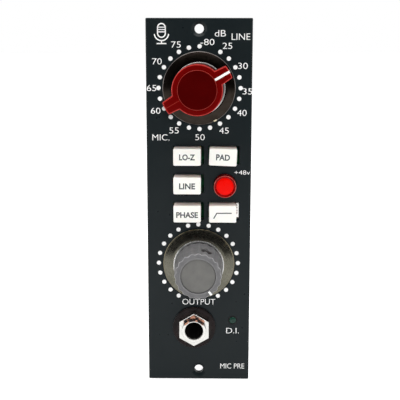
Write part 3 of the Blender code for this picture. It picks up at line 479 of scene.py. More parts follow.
def turned(profile, steps=96):
    """Turns (r, y) points about Y. The profile runs from axis to axis, or is a closed ring."""
    bm = bmesh.new()
    rings = []
    for radius, along in profile:
        around = arc(radius, 0, 360, steps)[:-1] if radius > 1e-9 else [(0.0, 0.0)]
        rings.append([bm.verts.new((x, along, z)) for x, z in around])
    pairs = list(zip(rings, rings[1:]))
    if profile[0][0] > 1e-9:
        pairs.append((rings[-1], rings[0]))
    for near, far in pairs:
        for i in range(steps):
            j = (i + 1) % steps
            ring = (near[i % len(near)], near[j % len(near)], far[j % len(far)], far[i % len(far)])
            bm.faces.new(dict.fromkeys(ring))
    bmesh.ops.recalc_face_normals(bm, faces=bm.faces)
    return bm


def prism(outline, y_front, y_rear):
    bm = bmesh.new()
    front = [bm.verts.new((x, y_front, z)) for x, z in outline]
    rear = [bm.verts.new((x, y_rear, z)) for x, z in outline]
    bm.faces.new(front)
    bm.faces.new(reversed(rear))
    for i in range(len(outline)):
        j = (i + 1) % len(outline)
        bm.faces.new((front[j], front[i], rear[i], rear[j]))
    bmesh.ops.recalc_face_normals(bm, faces=bm.faces)
    return bm


def block(low, high, soften=0.0):
    bm = bmesh.new()
    bmesh.ops.create_cube(bm, size=1.0)
    for vertex in bm.verts:
        vertex.co = [low[i] if vertex.co[i] < 0 else high[i] for i in range(3)]
    if soften:
        bmesh.ops.bevel(bm, geom=bm.edges[:], offset=soften, segments=2, profile=0.5,
                        affect="EDGES")
    return bm


def together(shapes):
    result = bmesh.new()
    for shape in shapes:
        mesh = bpy.data.meshes.new("part")
        shape.to_mesh(mesh)
        shape.free()
        result.from_mesh(mesh)
        bpy.data.meshes.remove(mesh)
    return result


def shifted(bm, x=0.0, y=0.0, z=0.0):
    bmesh.ops.translate(bm, vec=(x, y, z), verts=bm.verts)
    return bm


def rotated(bm, degrees, axis):
    bmesh.ops.rotate(bm, matrix=Matrix.Rotation(math.radians(degrees), 3, axis), verts=bm.verts)
    return bm


def lathe(points, closed=False, steps=96):
    """Turns (radius, height in front of the panel, rounding) points, in millimetres."""
    metres = [(r * MM, y_at(height), *(size * MM for size in rest)) for r, height, *rest in points]
    return turned(filleted(metres, closed), steps)


def spot(face):
    """(radius, height in front of the panel) of a face's middle, in millimetres."""
    middle = face.calc_center_median()
    return math.hypot(middle.x, middle.z) / MM, (FACE_Y - middle.y) / MM


def shade(made):
    made.data.shade_smooth()
    made.data.set_sharp_from_angle(angle=SHARP)


def place(name, bm, look, body, at=(0.0, 0.0, 0.0), turn=0.0, stands_for=(), rim=None):
    """Makes a piece whose own origin is at, turned clockwise about Y, riding on body.

    rim is (look, test): the faces that pass the test get a look of their own."""
    mesh = bpy.data.meshes.new(name)
    mesh.materials.append(LOOK[look])
    if rim:
        mesh.materials.append(LOOK[rim[0]])
        for face in bm.faces:
            face.material_index = int(rim[1](face))
    bm.to_mesh(mesh)
    bm.free()
    made = bpy.data.objects.new(name, mesh)
    made.location = at
    made.rotation_euler = (0.0, math.radians(turn), 0.0)
    bpy.context.scene.collection.objects.link(made)
    shade(made)
    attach(made, body)
    if stands_for:
        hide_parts(*stands_for)
    return made


def carve(made, cutter):
    """Cuts away a shape given in made's own frame, and keeps the result."""
    mesh = bpy.data.meshes.new("cutter")
    cutter.to_mesh(mesh)
    cutter.free()
    tool = bpy.data.objects.new("cutter", mesh)
    bpy.context.scene.collection.objects.link(tool)
    tool.matrix_world = made.matrix_world
    modifier = made.modifiers.new("carve", "BOOLEAN")
    modifier.operation = "DIFFERENCE"
    modifier.solver = "EXACT"
    modifier.object = tool
    bpy.context.view_layer.update()
    graph = bpy.context.evaluated_depsgraph_get()
    made.data = bpy.data.meshes.new_from_object(made.evaluated_get(graph))
    made.modifiers.clear()
    bpy.data.objects.remove(tool)
    shade(made)


# Printing


def lettering(text, height, width=None, weight=0.0):
    """A word as flat faces in the XZ plane, centred on the origin, facing the front."""
    curve = bpy.data.curves.new("word", "FONT")
    curve.body = text
    curve.resolution_u = 4
    curve.offset = weight
    holder = bpy.data.objects.new("word", curve)
    bpy.context.scene.collection.objects.link(holder)
    graph = bpy.context.evaluated_depsgraph_get()
    mesh = bpy.data.meshes.new_from_object(holder.evaluated_get(graph))
    bpy.data.objects.remove(holder)
    bm = bmesh.new()
    bm.from_mesh(mesh)
    bpy.data.meshes.remove(mesh)
    xs, ys = [v.co.x for v in bm.verts], [v.co.y for v in bm.verts]
    tall = height / (max(ys) - min(ys))
    wide = width / (max(xs) - min(xs)) if width else tall
    mid_x, mid_y = (max(xs) + min(xs)) / 2, (max(ys) + min(ys)) / 2
    for vertex in bm.verts:
        vertex.co = ((vertex.co.x - mid_x) * wide, 0.0, (vertex.co.y - mid_y) * tall)
    return bm


def disc(radius, x=0.0, z=0.0, steps=28):
    bm = bmesh.new()
    bm.faces.new([bm.verts.new((x + px, 0.0, z + pz)) for px,
                  pz in arc(radius, 360, 0, steps)[:-1]])
    return bm


def stroke(points, width, closed=False):
    """A flat line of even width through (x, z) points."""
    bm = bmesh.new()
    count = len(points)
    rails = []
    for i, point in enumerate(points):
        before = Vector(points[i - 1] if (closed or i) else points[i])
        after = Vector(points[(i + 1) % count] if (closed or i < count - 1) else points[i])
        here = Vector(point)
        came, goes = here - before, after - here
        first = (came if came.length else goes).normalized()
        second = goes.normalized() if goes.length else first
        along = (first + second).normalized()
        side = Vector((-along.y, along.x)) * width / 2 / max(0.5, along.dot(first))
        rails.append([bm.verts.new((here.x + s * side.x, 0.0, here.y + s * side.y))
                      for s in (1, -1)])
    pairs = list(zip(rails, rails[1:]))
    if closed:
        pairs.append((rails[-1], rails[0]))
    for near, far in pairs:
        bm.faces.new((near[0], near[1], far[1], far[0]))
    return bm


def printed(name, shapes, height, look, body, at=(0.0, 0.0), turn=0.0):
    """Flat shapes laid on a surface, in millimetres in front of the panel, as thick as ink."""
    bm = together(shapes)
    for face in bm.faces:
        face.normal_update()
        if face.normal.y > 0:
            face.normal_flip()
    made = place(name, bm, look, body, (at[0], y_at(height), at[1]), turn)
    made.data.shade_flat()
    layer = made.modifiers.new("layer", "SOLIDIFY")
    layer.thickness = 0.05 * MM
    layer.offset = -0.4
    return made


def panel_print():
    gain, output = centre("gain_skirt"), centre("output_skirt")
    phantom, lamp = centre("phantom_cap"), centre("di_led")
    numbers = [("75", -8.1, 15.1), ("-80", 2.9, 16.0), ("25", 9.9, 14.7), ("30", 15.4, 7.8),
               ("35", 17.1, -1.1)]
    numbers += [("40", 15.2, -8.7), ("45", 8.9, -15.0), ("50", 0.35, -17.4), ("55", -8.9, -15.0)]
    numbers += [("60", -15.4, -8.0), ("65", -16.8, 0.0), ("70", -14.8, 9.3)]
    words = []
    for text, x, z in numbers:
        width = (4.9 if len(text) == 3 else 3.4) * MM
        words.append(shifted(lettering(text, TEXT_HEIGHT, width, -0.006), gain.x + x * MM, 0,
                             gain.z + z * MM))
    placed = [("dB", gain, 7.4, 19.0, 2.2, 3.9), ("LINE", gain, 14.6, 17.85, 2.2, 6.5)]
    placed += [("MIC.", gain, -13.6, -17.5, 2.2, 6.1), ("+48v", phantom, 6.2, 4.7, 1.55, 5.6)]
    placed += [("OUTPUT", output, 0.0, -14.9, 2.2, 12.2), ("D.I.", lamp, 0.0, -4.1, 2.1, 4.7)]
    placed += [("MIC PRE", lamp, 0.0, -18.1, 2.0, 9.0)]
    for text, from_point, x, z, height, width in placed:
        word = lettering(text, height * MM, width * MM, -0.006)
        words.append(shifted(word, from_point.x + x * MM, 0, from_point.z + z * MM))
    printed("panel_legends", words, 0.01, "white_ink", "module")
    dots = []
    for i in range(2, 25):
        x, z = arc(SCALE_RADIUS, i * SCALE_STEP_DEG, i * SCALE_STEP_DEG, 1)[0]
        dots.append(disc(DOT_RADIUS, gain.x + 0.18 * MM + x, gain.z + 0.03 * MM + z))
    for i in range(-10, 11):
        x, z = arc(SCALE_RADIUS, i * SCALE_STEP_DEG, i * SCALE_STEP_DEG, 1)[0]
        dots.append(disc(DOT_RADIUS, output.x - 0.2 * MM + x, output.z + z))
    printed("scale_dots", dots, 0.01, "white_ink", "module")
    microphone_mark(PANEL_LOW.x + 5.6 * MM, PANEL_HIGH.z - 4.9 * MM)


def microphone_mark(x, z):
    """A plain studio-microphone pictogram."""
    wide, line = 1.35 * MM, 0.42 * MM
    capsule = [(px, pz + 1.6 * MM) for px, pz in arc(wide, -90, 90, 12)]
    capsule += [(px, pz - 0.4 * MM) for px, pz in arc(wide, 90, 270, 12)]
    shapes = [stroke(capsule, line, closed=True)]
    for level in (0.1, 0.9, 1.7):
        shapes.append(stroke([(-wide, level * MM), (wide, level * MM)], 0.3 * MM))
    shapes.append(stroke([(px, pz - 0.4 * MM) for px, pz in arc(2.5 * MM, 95, 265, 20)], line))
    shapes.append(stroke([(0, -2.9 * MM), (0, -3.9 * MM)], line))
    shapes.append(stroke([(-1.7 * MM, -3.9 * MM), (1.7 * MM, -3.9 * MM)], line))
    printed("microphone_mark", shapes, 0.01, "white_ink", "module", at=(x, z))


# Knobs


def heights(node_name):
    """(base, top) of a node, in millimetres in front of the panel."""
    low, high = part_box(node_name)
    return (FACE_Y - high.y) / MM, (FACE_Y - low.y) / MM


def radius_of(node_name):
    """A round node's radius, in millimetres."""
    low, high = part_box(node_name)
    return (high.z - low.z) / 2 / MM


def axis_of(node_name):
    middle = centre(node_name)
    return (middle.x, 0.0, middle.z)


def skirt(name, node_name, body, look, turn):
    base, top = heights(node_name)
    radius = radius_of(node_name)

    # Painted highlight: the faces of the band round the rim take the lighter rim look.
    def on_rim_highlight(face):
        out, height = spot(face)
        return base + 0.72 < height < base + 1.0 and out > radius - 0.3

    shape = lathe([(KNOB_BORE, base), (radius - 0.25, base, 0.1), (radius, base + 0.25, 0.1),
                   (radius, base + 0.85, 0.22), (9.9, top, 0.5), (KNOB_BORE, top)], True, 128)
    place(name, shape, look, body, axis_of(node_name), turn, (node_name,),
          (f"{look}_rim", on_rim_highlight))


def bright_ring(name, node_name, body, turn):
    """A turned ring with a polished outer edge, and its face painted darker as shade."""
    base, top = heights(node_name)
    radius = radius_of(node_name)
    step = radius - 0.42
    shape = lathe([(KNOB_BORE, base), (radius, base, 0.12), (radius, top, 0.25), (step, top, 0.05),
                   (step - 0.08, top - 0.12), (KNOB_BORE, top - 0.12)], True, 128)
    # Painted shade: the face inside the polished edge takes the darker copy.
    place(name, shape, "ring_painted_shade", body, axis_of(node_name), turn, (node_name,),
          ("ring", lambda face: spot(face)[0] > step - 0.02))


def knob_hollow(base, face):
    """What a grip leaves free underneath, for its ring, nut and shaft."""
    step, top = base + 2.2, face - 2.3
    return lathe([(0, base - 1), (7.0, base - 1), (7.0, step), (3.3, step), (3.3, top), (0, top)],
                 False, 48)


def winged_outline(grow=0.0):
    grip, tip = (8.75 + grow) * MM, (12.6 + grow) * MM
    root = math.degrees(math.asin(2.65 * MM / grip))
    end = math.degrees(math.asin(2.25 * MM / tip))
    points = []
    for turn in (0, 180):
        points += arc(tip, turn - end, turn + end, 8)
        points += arc(grip, turn + root, turn + 180 - root, 44)
    return points


def panel_film():
    """The paint on the panel's face, flat and even, open at every hole and window."""
    low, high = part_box("front_panel")
    inset, front, rear = 0.45 * MM, FACE_Y - 0.012 * MM, FACE_Y + 0.15 * MM
    sheet = block((low.x + inset, front, low.z + inset), (high.x - inset, rear, high.z - inset))
    film = place("panel_paint_film", sheet, "paint_face", "module")
    holes = []
    for name in ("lo_z", "pad", "line", "phase", "low_cut"):
        left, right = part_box(f"{name}_cap")
        corner = (left.x - 0.37 * MM, front - MM, left.z - 0.42 * MM)
        holes.append(block(corner, (right.x + 1.12 * MM, rear + MM, right.z + 0.42 * MM)))
    rounds = [((0.0, 0.0, z), 2.78) for z in (3.7 * MM, high.z - 3.7 * MM)]
    rounds += [(axis_of("phantom_cap"), 4.32), (axis_of("di_led"), 1.62),
               (axis_of("jack_washer"), 6.0)]
    rounds += [(axis_of("gain_skirt"), 8.0), (axis_of("output_skirt"), 8.0)]
    for at, radius in rounds:
        rod = turned([(0, front - MM), (radius * MM, front - MM), (radius * MM, rear + MM),
                      (0, rear + MM)], 64)
        holes.append(shifted(rod, at[0], 0.0, at[2]))
    carve(film, together(holes))
    film.data.shade_flat()


def gain_knob():
    body, turn, at = "gain_control", GAIN_POINTER_DEG, axis_of("gain_skirt")
    skirt("gain_skirt_disc", "gain_skirt", body, "brown", turn)
    bright_ring("gain_bright_ring", "gain_ring", body, turn)
    at = (at[0] - GRIP_OFFSET, 0.0, at[2])
    base, _ = heights("gain_knob")
    face = heights("gain_knob_cap")[1] - 0.1
    grip = prism(winged_outline(), y_at(face), y_at(base))
    rim = [e for e in grip.edges if max(v.co.y for v in e.verts) < y_at(face) + 1e-6]
    bmesh.ops.bevel(grip, geom=rim, offset=0.3 * MM, segments=4, profile=0.5, affect="EDGES")
    foot = [e for e in grip.edges if min(v.co.y for v in e.verts) > y_at(base) - 1e-6]
    bmesh.ops.bevel(grip, geom=foot, offset=0.3 * MM, segments=2, profile=0.5, affect="EDGES")

    # Painted highlight: the bevels round the grip's front face.
    def on_highlight_edge(face_of_grip):
        return face_of_grip.normal.y < -0.08 and face_of_grip.normal.y > -0.985

    grip.normal_update()
    knob = place("gain_grip", grip, "red", body, at, turn, ("gain_knob",),
                 ("red_highlight_paint", on_highlight_edge))
    seat, floor = 6.85, face - FACE_DEPTH
    recess = lathe([(0, face + 1), (seat + 0.1, face + 1), (seat + 0.1, face), (seat, face - 0.1),
                    (seat, floor), (0, floor)])
    carve(knob, together([recess, knob_hollow(base, face)]))
    top, radius = face + 0.1, 6.82
    shape = lathe([(0, face - 0.7), (radius, face - 0.7), (radius, top, 0.2), (radius - 0.55, top),
                   (0, top + 0.06)])
    # Painted highlight: the outer rim of the face disc takes the light red.
    place("gain_face_disc", shape, "dark_red", body, at, turn, ("gain_knob_cap",),
          ("red_line_highlight", lambda part: spot(part)[0] > radius - 0.17))
    line = bmesh.new()
    run = [(6.95, face + 0.03), (12.2, face + 0.03), (12.48, face - 0.08), (12.61, face - 0.4),
           (12.63, base + 0.4)]
    sides = [[line.verts.new((s * 0.42 * MM, y_at(h), r * MM)) for s in (-1, 1)] for r, h in run]
    for near, far in zip(sides, sides[1:]):
        line.faces.new((near[0], near[1], far[1], far[0]))
    bmesh.ops.recalc_face_normals(line, faces=line.faces)
    pointer = place("gain_pointer", line, "pointer", body, at, turn)
    thicken(pointer, 0.08 * MM)
    # Painted highlight: the seam is drawn as a light red line.
    seam = [stroke([(0, -7.0 * MM), (0, -12.25 * MM)], 0.16 * MM)]
    printed("gain_seam", seam, face, "red_line_highlight", body, (at[0], at[2]), turn)
    outer, inner = [(radius_of("gain_skirt") + more) * MM for more in (0.03, -0.75)]
    index_mark("gain_index", axis_of("gain_skirt"), body, outer, inner,
               heights("gain_skirt")[0] + 0.85, 153.0, 2.6, turn)


def thicken(made, thickness):
    made.data.shade_flat()
    layer = made.modifiers.new("layer", "SOLIDIFY")
    layer.thickness = thickness
    layer.offset = 0.0


def index_mark(name, at, body, outer, inner, level, angle, half, turn):
    """A short cream dash on the skirt's rim."""
    bm = bmesh.new()
    slope = 0.36 * (outer - inner) / MM
    rows = []
    for r, h in ((outer, level - 0.45), (outer, level + 0.02), (inner, level + slope)):
        ring = arc(r, angle - turn - half, angle - turn + half, 6)
        rows.append([bm.verts.new((x, y_at(h) - 0.02 * MM, z)) for x, z in ring])
    for near, far in zip(rows, rows[1:]):
        for i in range(6):
            bm.faces.new((near[i], near[i + 1], far[i + 1], far[i]))
    bmesh.ops.recalc_face_normals(bm, faces=bm.faces)
    thicken(place(name, bm, "cream", body, at, turn), 0.06 * MM)


def fluted_grip(face, base):
    """A tapered grip whose wall is scalloped up to a sharp front edge."""
    per, depth = 18, 0.42
    rings = [(8.35, base, 0.0), (8.5, base + 0.3, 0.04), (8.82, base + 0.62, 0.3)]
    rings += [(8.82 - 0.56 * i / 6, base + 0.62 + (face - 0.84 - base) * i / 6, depth)
              for i in range(1, 7)]
    rings += [(8.20, face - 0.07, depth), (8.06, face, depth), (7.3, face + 0.02, 0.0)]
    bm = turned([(0, y_at(base))] + [(r * MM, y_at(h)) for r, h,
                                     _ in rings] + [(0, y_at(face + 0.02))], FLUTES * per)
    depth_at = {round(y_at(h), 7): d for _, h, d in rings}
    for vertex in bm.verts:
        deep = depth_at.get(round(vertex.co.y, 7), 0.0)
        radius = math.hypot(vertex.co.x, vertex.co.z)
        if deep and radius > 1 * MM:
            angle = math.atan2(vertex.co.x, vertex.co.z)
            shrink = 1 - deep * MM / radius * (0.5 - 0.5 * math.cos(FLUTES * angle))
            vertex.co.x *= shrink
            vertex.co.z *= shrink
    return bm


def grub_hole(angle, height, radius, inner, outer):
    """A round hole across the grip's wall, to be cut at a height in front of the panel."""
    bm = turned([(0, inner * MM), (radius * MM, inner * MM), (radius * MM, outer * MM),
                 (0, outer * MM)], 32)
    rotated(bm, 90, "X")
    rotated(bm, angle, "Y")
    return shifted(bm, y=y_at(height))


def grub_screw(name, body, at, turn, angle, height):
    """A black sleeve lining the hole as painted shade, and a set screw with a hexagonal socket,
    deep in their hole.
    """
    sleeve = turned([(1.42 * MM, 3.0 * MM), (2.0 * MM, 3.0 * MM), (2.0 * MM, 7.98 * MM),
                     (1.42 * MM, 7.6 * MM)], 32)
    screw = turned([(0, 3.2 * MM), (1.4 * MM, 3.2 * MM), (1.4 * MM, 5.0 * MM),
                    (0.7 * MM, 5.0 * MM),
                    (0.7 * MM, 4.2 * MM), (0, 4.2 * MM)], 32)
    # The sleeve is painted shade: it makes the hole's wall black.
    for suffix, shape in (("sleeve", sleeve), ("screw", screw)):
        rotated(shape, 90, "X")
        rotated(shape, angle, "Y")
        place(f"{name}_{suffix}", shifted(shape, y=y_at(height)), "black", body, at, turn)


def output_knob():
    body, turn, at = "output_control", OUTPUT_POINTER_DEG, axis_of("output_skirt")
    skirt("output_skirt_disc", "output_skirt", body, "olive", turn)
    bright_ring("output_bright_ring", "output_ring", body, turn)
    base, face = heights("output_knob")

    # Painted highlight: the thin band along the scalloped front edge.
    def on_highlight_edge(part):
        return face - 0.16 < spot(part)[1] < face - 0.005

    shape = fluted_grip(face, base)
    knob = place("output_grip", shape, "grip", body, at, turn, ("output_knob",),
                 ("grip_highlight_paint", on_highlight_edge))
    hole_angle, hole_height = 21.5 - turn, face - 5.5
    carve(knob, grub_hole(hole_angle, hole_height, 2.05, 4.0, 10.0))
    grub_screw("output_grub", body, at, turn, hole_angle, hole_height)
    seat, floor = 6.15, face - FACE_DEPTH
    recess = lathe([(0, face + 1), (seat, face + 1), (seat, floor), (0, floor)])
    carve(knob, together([recess, knob_hollow(base, face)]))
    lip = lathe([(seat + 0.02, face - 0.3), (seat + 0.02, face + 0.14, 0.12),
                 (6.55, face + 0.14, 0.2),
                 (6.7, face - 0.3)], True)
    place("output_face_lip", lip, "grip_lip", body, at, turn)
    top = heights("output_knob_cap")[1] - 0.15
    shape = lathe([(0, top - 0.5), (6.0, top - 0.5), (6.0, top, 0.2), (0, top + 0.05)])
    place("output_face_disc", shape, "grip_disc", body, at, turn,
          ("output_knob_cap",))
    mark = [stroke([(0, 6.5 * MM), (0, 8.1 * MM)], 0.8 * MM)]
    printed("output_pointer", mark, face + 0.06, "pointer", body, (at[0], at[2]), turn)


# Buttons


def cap_shape(width, height, front, rear):
    half_w, half_h = width / 2, height / 2
    cap = block((-half_w, front, -half_h), (half_w, rear, half_h))
    long_edges = [e for e in cap.edges if abs(e.verts[0].co.y - e.verts[1].co.y) > MM]
    bmesh.ops.bevel(cap, geom=long_edges, offset=0.5 * MM, segments=5, profile=0.5, affect="EDGES")
    rim = [e for e in cap.edges if max(v.co.y for v in e.verts) < front + 1e-5]
    bmesh.ops.bevel(cap, geom=rim, offset=0.26 * MM, segments=4, profile=0.5, affect="EDGES")
    return cap


def cap_word(text, width):
    return lettering(text, TEXT_HEIGHT, width * MM, 0.03)


def button_caps():
    legends = {
        "lo_z": [cap_word("LO-Z", 5.6)],
        "pad": [cap_word("PAD", 4.9)],
        "line": [shifted(cap_word("LINE", 5.7), z=-0.1 * MM)],
        "phase": [shifted(cap_word("PHASE", 7.8), z=-0.25 * MM)],
        "low_cut": [stroke([(-3.2 * MM, -1.5 * MM), (-2.1 * MM, 0.45 * MM), (3.2 * MM, 0.45 * MM)],
                           0.38 * MM)],
    }
    tilts = {"pad": 2.2}
    for name, shapes in legends.items():
        low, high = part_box(f"{name}_cap")
        body, at = f"{name}_button", axis_of(f"{name}_cap")
        shape = cap_shape(high.x - low.x, high.z - low.z, low.y, high.y)
        tilt = tilts.get(name, 0.0)
        cap = place(f"{name}_key", shape, "ivory", body, at, tilt, (f"{name}_cap",))
        half = 2.0 * MM
        carve(cap, block((-half, -2.0 * MM, -half), (half, 2.0 * MM, half)))
        height = (FACE_Y - low.y) / MM
        printed(f"{name}_legend", shapes, height, "dark_ink", body, (at[0], at[2]), tilt)


def window_teeth():
    """The toothed edge of a switch frame, seen beside the low-cut cap."""
    low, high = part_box("low_cut_cap")
    left, front = high.x + 0.55 * MM, FACE_Y + 0.1 * MM
    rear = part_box("low_cut_switch")[0].y - 0.1 * MM
    shapes = [block((left, front, low.z + 0.9 * MM), (left + 0.42 * MM, rear, high.z), 0.05 * MM)]
    for i in range(4):
        z = high.z - (0.05 + 0.98 * i) * MM
        shapes.append(block((left - 0.45 * MM, front, z - 0.42 * MM),
                            (left + 0.1 * MM, front + 2 * MM, z), 0.04 * MM))
    foot = high.z - 4.0 * MM
    shapes.append(block((left - 0.45 * MM, front, low.z + 0.9 * MM),
                        (left + 0.1 * MM, front + 2 * MM, foot), 0.05 * MM))
    place("low_cut_frame_teeth", together(shapes), "pointer", "module")
    # Painted shade: a black block behind the teeth, standing in for the shade in the window's gap.
    dark = (left - 0.1 * MM, front + 1.2 * MM, low.z), (left + 0.02 * MM, rear, high.z)
    place("low_cut_gap_painted_shade", block(*dark, 0.02 * MM), "black", "module")


def phantom_button():
    body, at = "phantom_button", axis_of("phantom_cap")
    stem, front = heights("phantom_cap")
    radius, lens_r = radius_of("phantom_cap"), radius_of("phantom_lens")
    seat, rear = lens_r + 0.1, FACE_Y / MM - 1.5

    # Painted highlight: the outer rim of the bezel's front.
    def on_highlight_edge(face):
        out, height = spot(face)
        return height > front - 0.22 and out > radius - 0.22

    bezel = lathe([(0, front - 1.4), (seat, front - 1.4), (seat, front - 0.2, 0.15),
                   (radius - 0.35, front - 0.05), (radius, front, 0.2), (radius, rear, 0.2),
                   (1.6, rear),
                   (1.6, stem), (0, stem)])
    place("phantom_bezel", bezel, "button_rim", body, at, 0.0, ("phantom_cap",),
          ("button_highlight_paint", on_highlight_edge))
    base, top = heights("phantom_lens")
    lens = lathe([(0, base), (lens_r, base), (lens_r, top - 0.3, 0.25),
                  (lens_r * 0.8, top - 0.1, 0.4),
                  (lens_r * 0.4, top - 0.02, 0.4), (0, top)])
    place("phantom_window", lens, "lens", body, at, 0.0, ("phantom_lens",))


# Jack and lamp


def jack():
    at = axis_of("jack_washer")
    base, top = heights("jack_washer")
    outer = radius_of("jack_washer")
    washer = lathe([(4.9, base), (outer, base, 0.15), (outer, top - 0.05, 0.35),
                    (outer - 1.0, top, 0.2),
                    (4.9, top)], True, 128)
    place("jack_washer_ring", washer, "washer", "module", at, 0.0,
          ("jack_washer",))
    base, face = heights("jack_nut")
    low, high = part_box("jack_nut")
    corner, bore = (high.x - low.x) / MM / math.sqrt(3), 4.3
    hexagon = prism(arc(corner * MM, 0, 300, 5), y_at(face), y_at(base))
    nut = place("jack_hex_nut", hexagon, "nut", "module", at, 0.0, ("jack_nut",),
                ("nut_flank", lambda side: abs(side.normal.y) < 0.5))
    carve(nut, lathe([(0, face + 3), (bore, face + 3), (bore, base - 1), (0, base - 1)]))
    out, crown = corner * 1.1, corner * 0.93
    carve(nut, lathe([(out, face + 1), (out, face - 0.45), (crown, face + 0.03),
                      (crown, face + 1)], True))
    edge = nut.modifiers.new("worn_edges", "BEVEL")
    edge.width, edge.segments = 0.1 * MM, 2
    edge.limit_method, edge.angle_limit = "ANGLE", math.radians(40)
    neck = heights("jack_body")[1]
    place("jack_threaded_neck", threaded_neck(neck, base), "nut", "module", at)


def threaded_neck(top, base):
    """The end of the socket's threaded neck: grooves outside, a chamfered mouth inside."""
    crest, root, mouth, wide, pitch = 4.36, 4.1, 3.32, 3.9, 0.5
    points = [(crest, base - 0.2)]
    height = base
    while height < top - 0.7:
        points += [(crest, height + 0.1), (root, height + 0.27), (crest, height + 0.44)]
        height += pitch
    points += [(crest, top + 0.04, 0.06), (3.45, top + 0.04, 0.05), (mouth, top - 0.15, 0.05),
               (mouth, top - 0.9), (wide, top - 0.9), (wide, base - 0.2)]
    return lathe(points, True)


def lamp():
    at = axis_of("di_led")
    _, top = heights("di_led")
    r, low = 1.3 * MM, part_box("di_led")[1].y
    dome = [(r * math.sin(a), y_at(top * math.cos(a)))
            for a in [math.radians(9 * i) for i in range(11)]]
    profile = dome + [(r, 0.0), (1.9 * MM, 0.0), (1.9 * MM, MM), (r, MM), (r, low), (0, low)]
    place("di_lamp", turned(profile, 48), "lamp", "module", at, 0.0, ("di_led",))
    ring = lathe([(1.36, -0.3), (1.36, 0.12, 0.08), (1.75, 0.12, 0.12), (1.8, -0.3)], True, 48)
    place("di_lamp_ring", ring, "black", "module", at)


def board_face():
    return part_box("main_board")[1].x


def axial(y, z, upright):
    """A resistor's body lying on the board, 6.4 mm long."""
    outline = [(0, -3.2), (0.75, -3.2), (1.0, -2.9), (1.0, -2.0), (0.85, -1.6), (0.85, 1.6),
               (1.0, 2.0), (1.0, 2.9)]
    outline += [(0.75, 3.2), (0, 3.2)]
    body = turned([(r * MM, y_part * MM) for r, y_part in outline], 16)
    wires = turned([(0, -5.0 * MM), (0.3 * MM, -5.0 * MM), (0.3 * MM, 5.0 * MM), (0, 5.0 * MM)], 8)
    for shape in (body, wires):
        if upright:
            rotated(shape, 90, "X")
        shifted(shape, board_face() + 1.25 * MM, y * MM, z * MM)
    return body, wires


def on_board(y, z, long_y, long_z, tall, soften=0.2):
    """A small block standing on the main board, its middle at (y, z) in mm."""
    face = board_face()
    low = (face + 0.1 * MM, (y - long_y / 2) * MM, (z - long_z / 2) * MM)
    return block(low, (face + tall * MM, (y + long_y / 2) * MM, (z + long_z / 2) * MM),
                 soften * MM)


def small_parts():
    """What the main board carries besides the larger parts."""
    spots = [(37.0 + 4.2 * i, 18.5, True) for i in range(4)] + [(37.0 + 4.2 * i, 48.0, True)
                                                                for i in range(4)]
    spots += [(86.0 + 12.5 * i, 117.5, False)
              for i in range(4)] + [(86.0 + 12.5 * i, 113.5, False) for i in range(4)]
    spots += [(84.0 + 3.4 * i, 96.0, True) for i in range(4)] + [(36.5, 92.0 + 3.6 * i, False)
                                                                 for i in range(7)]
    pairs = [axial(*spot) for spot in spots]
    place("resistors", together([body for body, _ in pairs]), "resistor", "module")
    place("resistor_wires", together([wires for _, wires in pairs]), "tin", "module")
    films = [on_board(35.0 + 5.5 * i, 27.5, 3.6, 7.4, 2.7) for i in range(4)]
    films += [on_board(86.0 + 6.0 * i, 60.2 - 3.0, 4.5, 2.4, 0.65, 0.1) for i in range(3)]
    place("film_capacitors", together(films), "film_cap", "module")
    place("trimmers", together([on_board(36.5 + 9 * i, 38.0, 6.6, 6.6, 2.8) for i in range(2)]),
          "trimmer", "module")
    screws = []
    for i in range(2):
        head = turned([(0, -0.3 * MM), (1.2 * MM, -0.3 * MM), (1.2 * MM, 0.2 * MM),
                       (0, 0.25 * MM)], 20)
        rotated(head, -90, "Z")
        screws.append(shifted(head, board_face() + 2.9 * MM, (38.4 + 9 * i) * MM, 39.8 * MM))
    place("trimmer_screws", together(screws), "gold", "module")
    chips = [on_board(40.0 + 16 * i, 78.0, 6.0, 4.0, 0.65, 0.08) for i in range(5)]
    place("chips", together(chips), "black", "module")
    feet = []
    for i in range(5):
        for k in range(4):
            for side in (-2.6, 2.6):
                feet.append(on_board(37.7 + 16 * i + 1.5 * k, 78.0 + side, 0.5, 1.2, 0.22, 0.0))
    place("chip_feet", together(feet), "tin", "module")
    place("ribbon_header", on_board(30.9, 75.0, 3.6, 16.5, 9.0, 0.3), "black", "module")


def card_contacts():
    """Fifteen gilt contacts on each face of the card edge, 3.96 mm apart."""
    low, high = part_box("main_board")
    middle = (low.z + high.z) / 2
    strips = []
    for face, out in ((low.x, -0.05 * MM), (high.x, 0.05 * MM)):
        for i in range(15):
            z = middle + (i - 7) * 3.96 * MM
            near, far = sorted((face, face + out))
            strips.append(block((near, high.y - 9.0 * MM, z - 1.25 * MM),
                                (far, high.y - 0.3 * MM, z + 1.25 * MM)))
    made = place("card_contacts", together(strips), "gold", "module")
    made.data.shade_flat()


def side_screws():
    """Countersunk cross-head screws across the module."""
    for name in ("cover_screw_1", "cover_screw_2", "cover_screw_3", "cover_screw_4"):
        low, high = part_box(name)
        middle = (low + high) / 2
        head, shank = (high.y - low.y) / 2, 1.25 * MM
        length = high.x - low.x
        profile = [(0, -length), (shank * 0.8, -length), (shank, -length + 0.4 * MM)]
        profile += [(shank, -(head - shank) - 0.2 * MM), (head - 0.1 * MM, -0.15 * MM), (head, 0),
                    (0, 0)]
        shape = turned(profile, 40)
        rotated(shape, -90, "Z")
        screw = place(f"{name}_shape", shape, "zinc", "module",
                      (high.x, middle.y, middle.z), 0.0,
                      (name,))
        arms = [block((-1.1 * MM, -1.5 * MM, -0.3 * MM), (MM, 1.5 * MM, 0.3 * MM), 0.05 * MM)]
        arms.append(block((-1.1 * MM, -0.3 * MM, -1.5 * MM), (MM, 0.3 * MM, 1.5 * MM), 0.05 * MM))
        for arm in arms:
            carve(screw, arm)


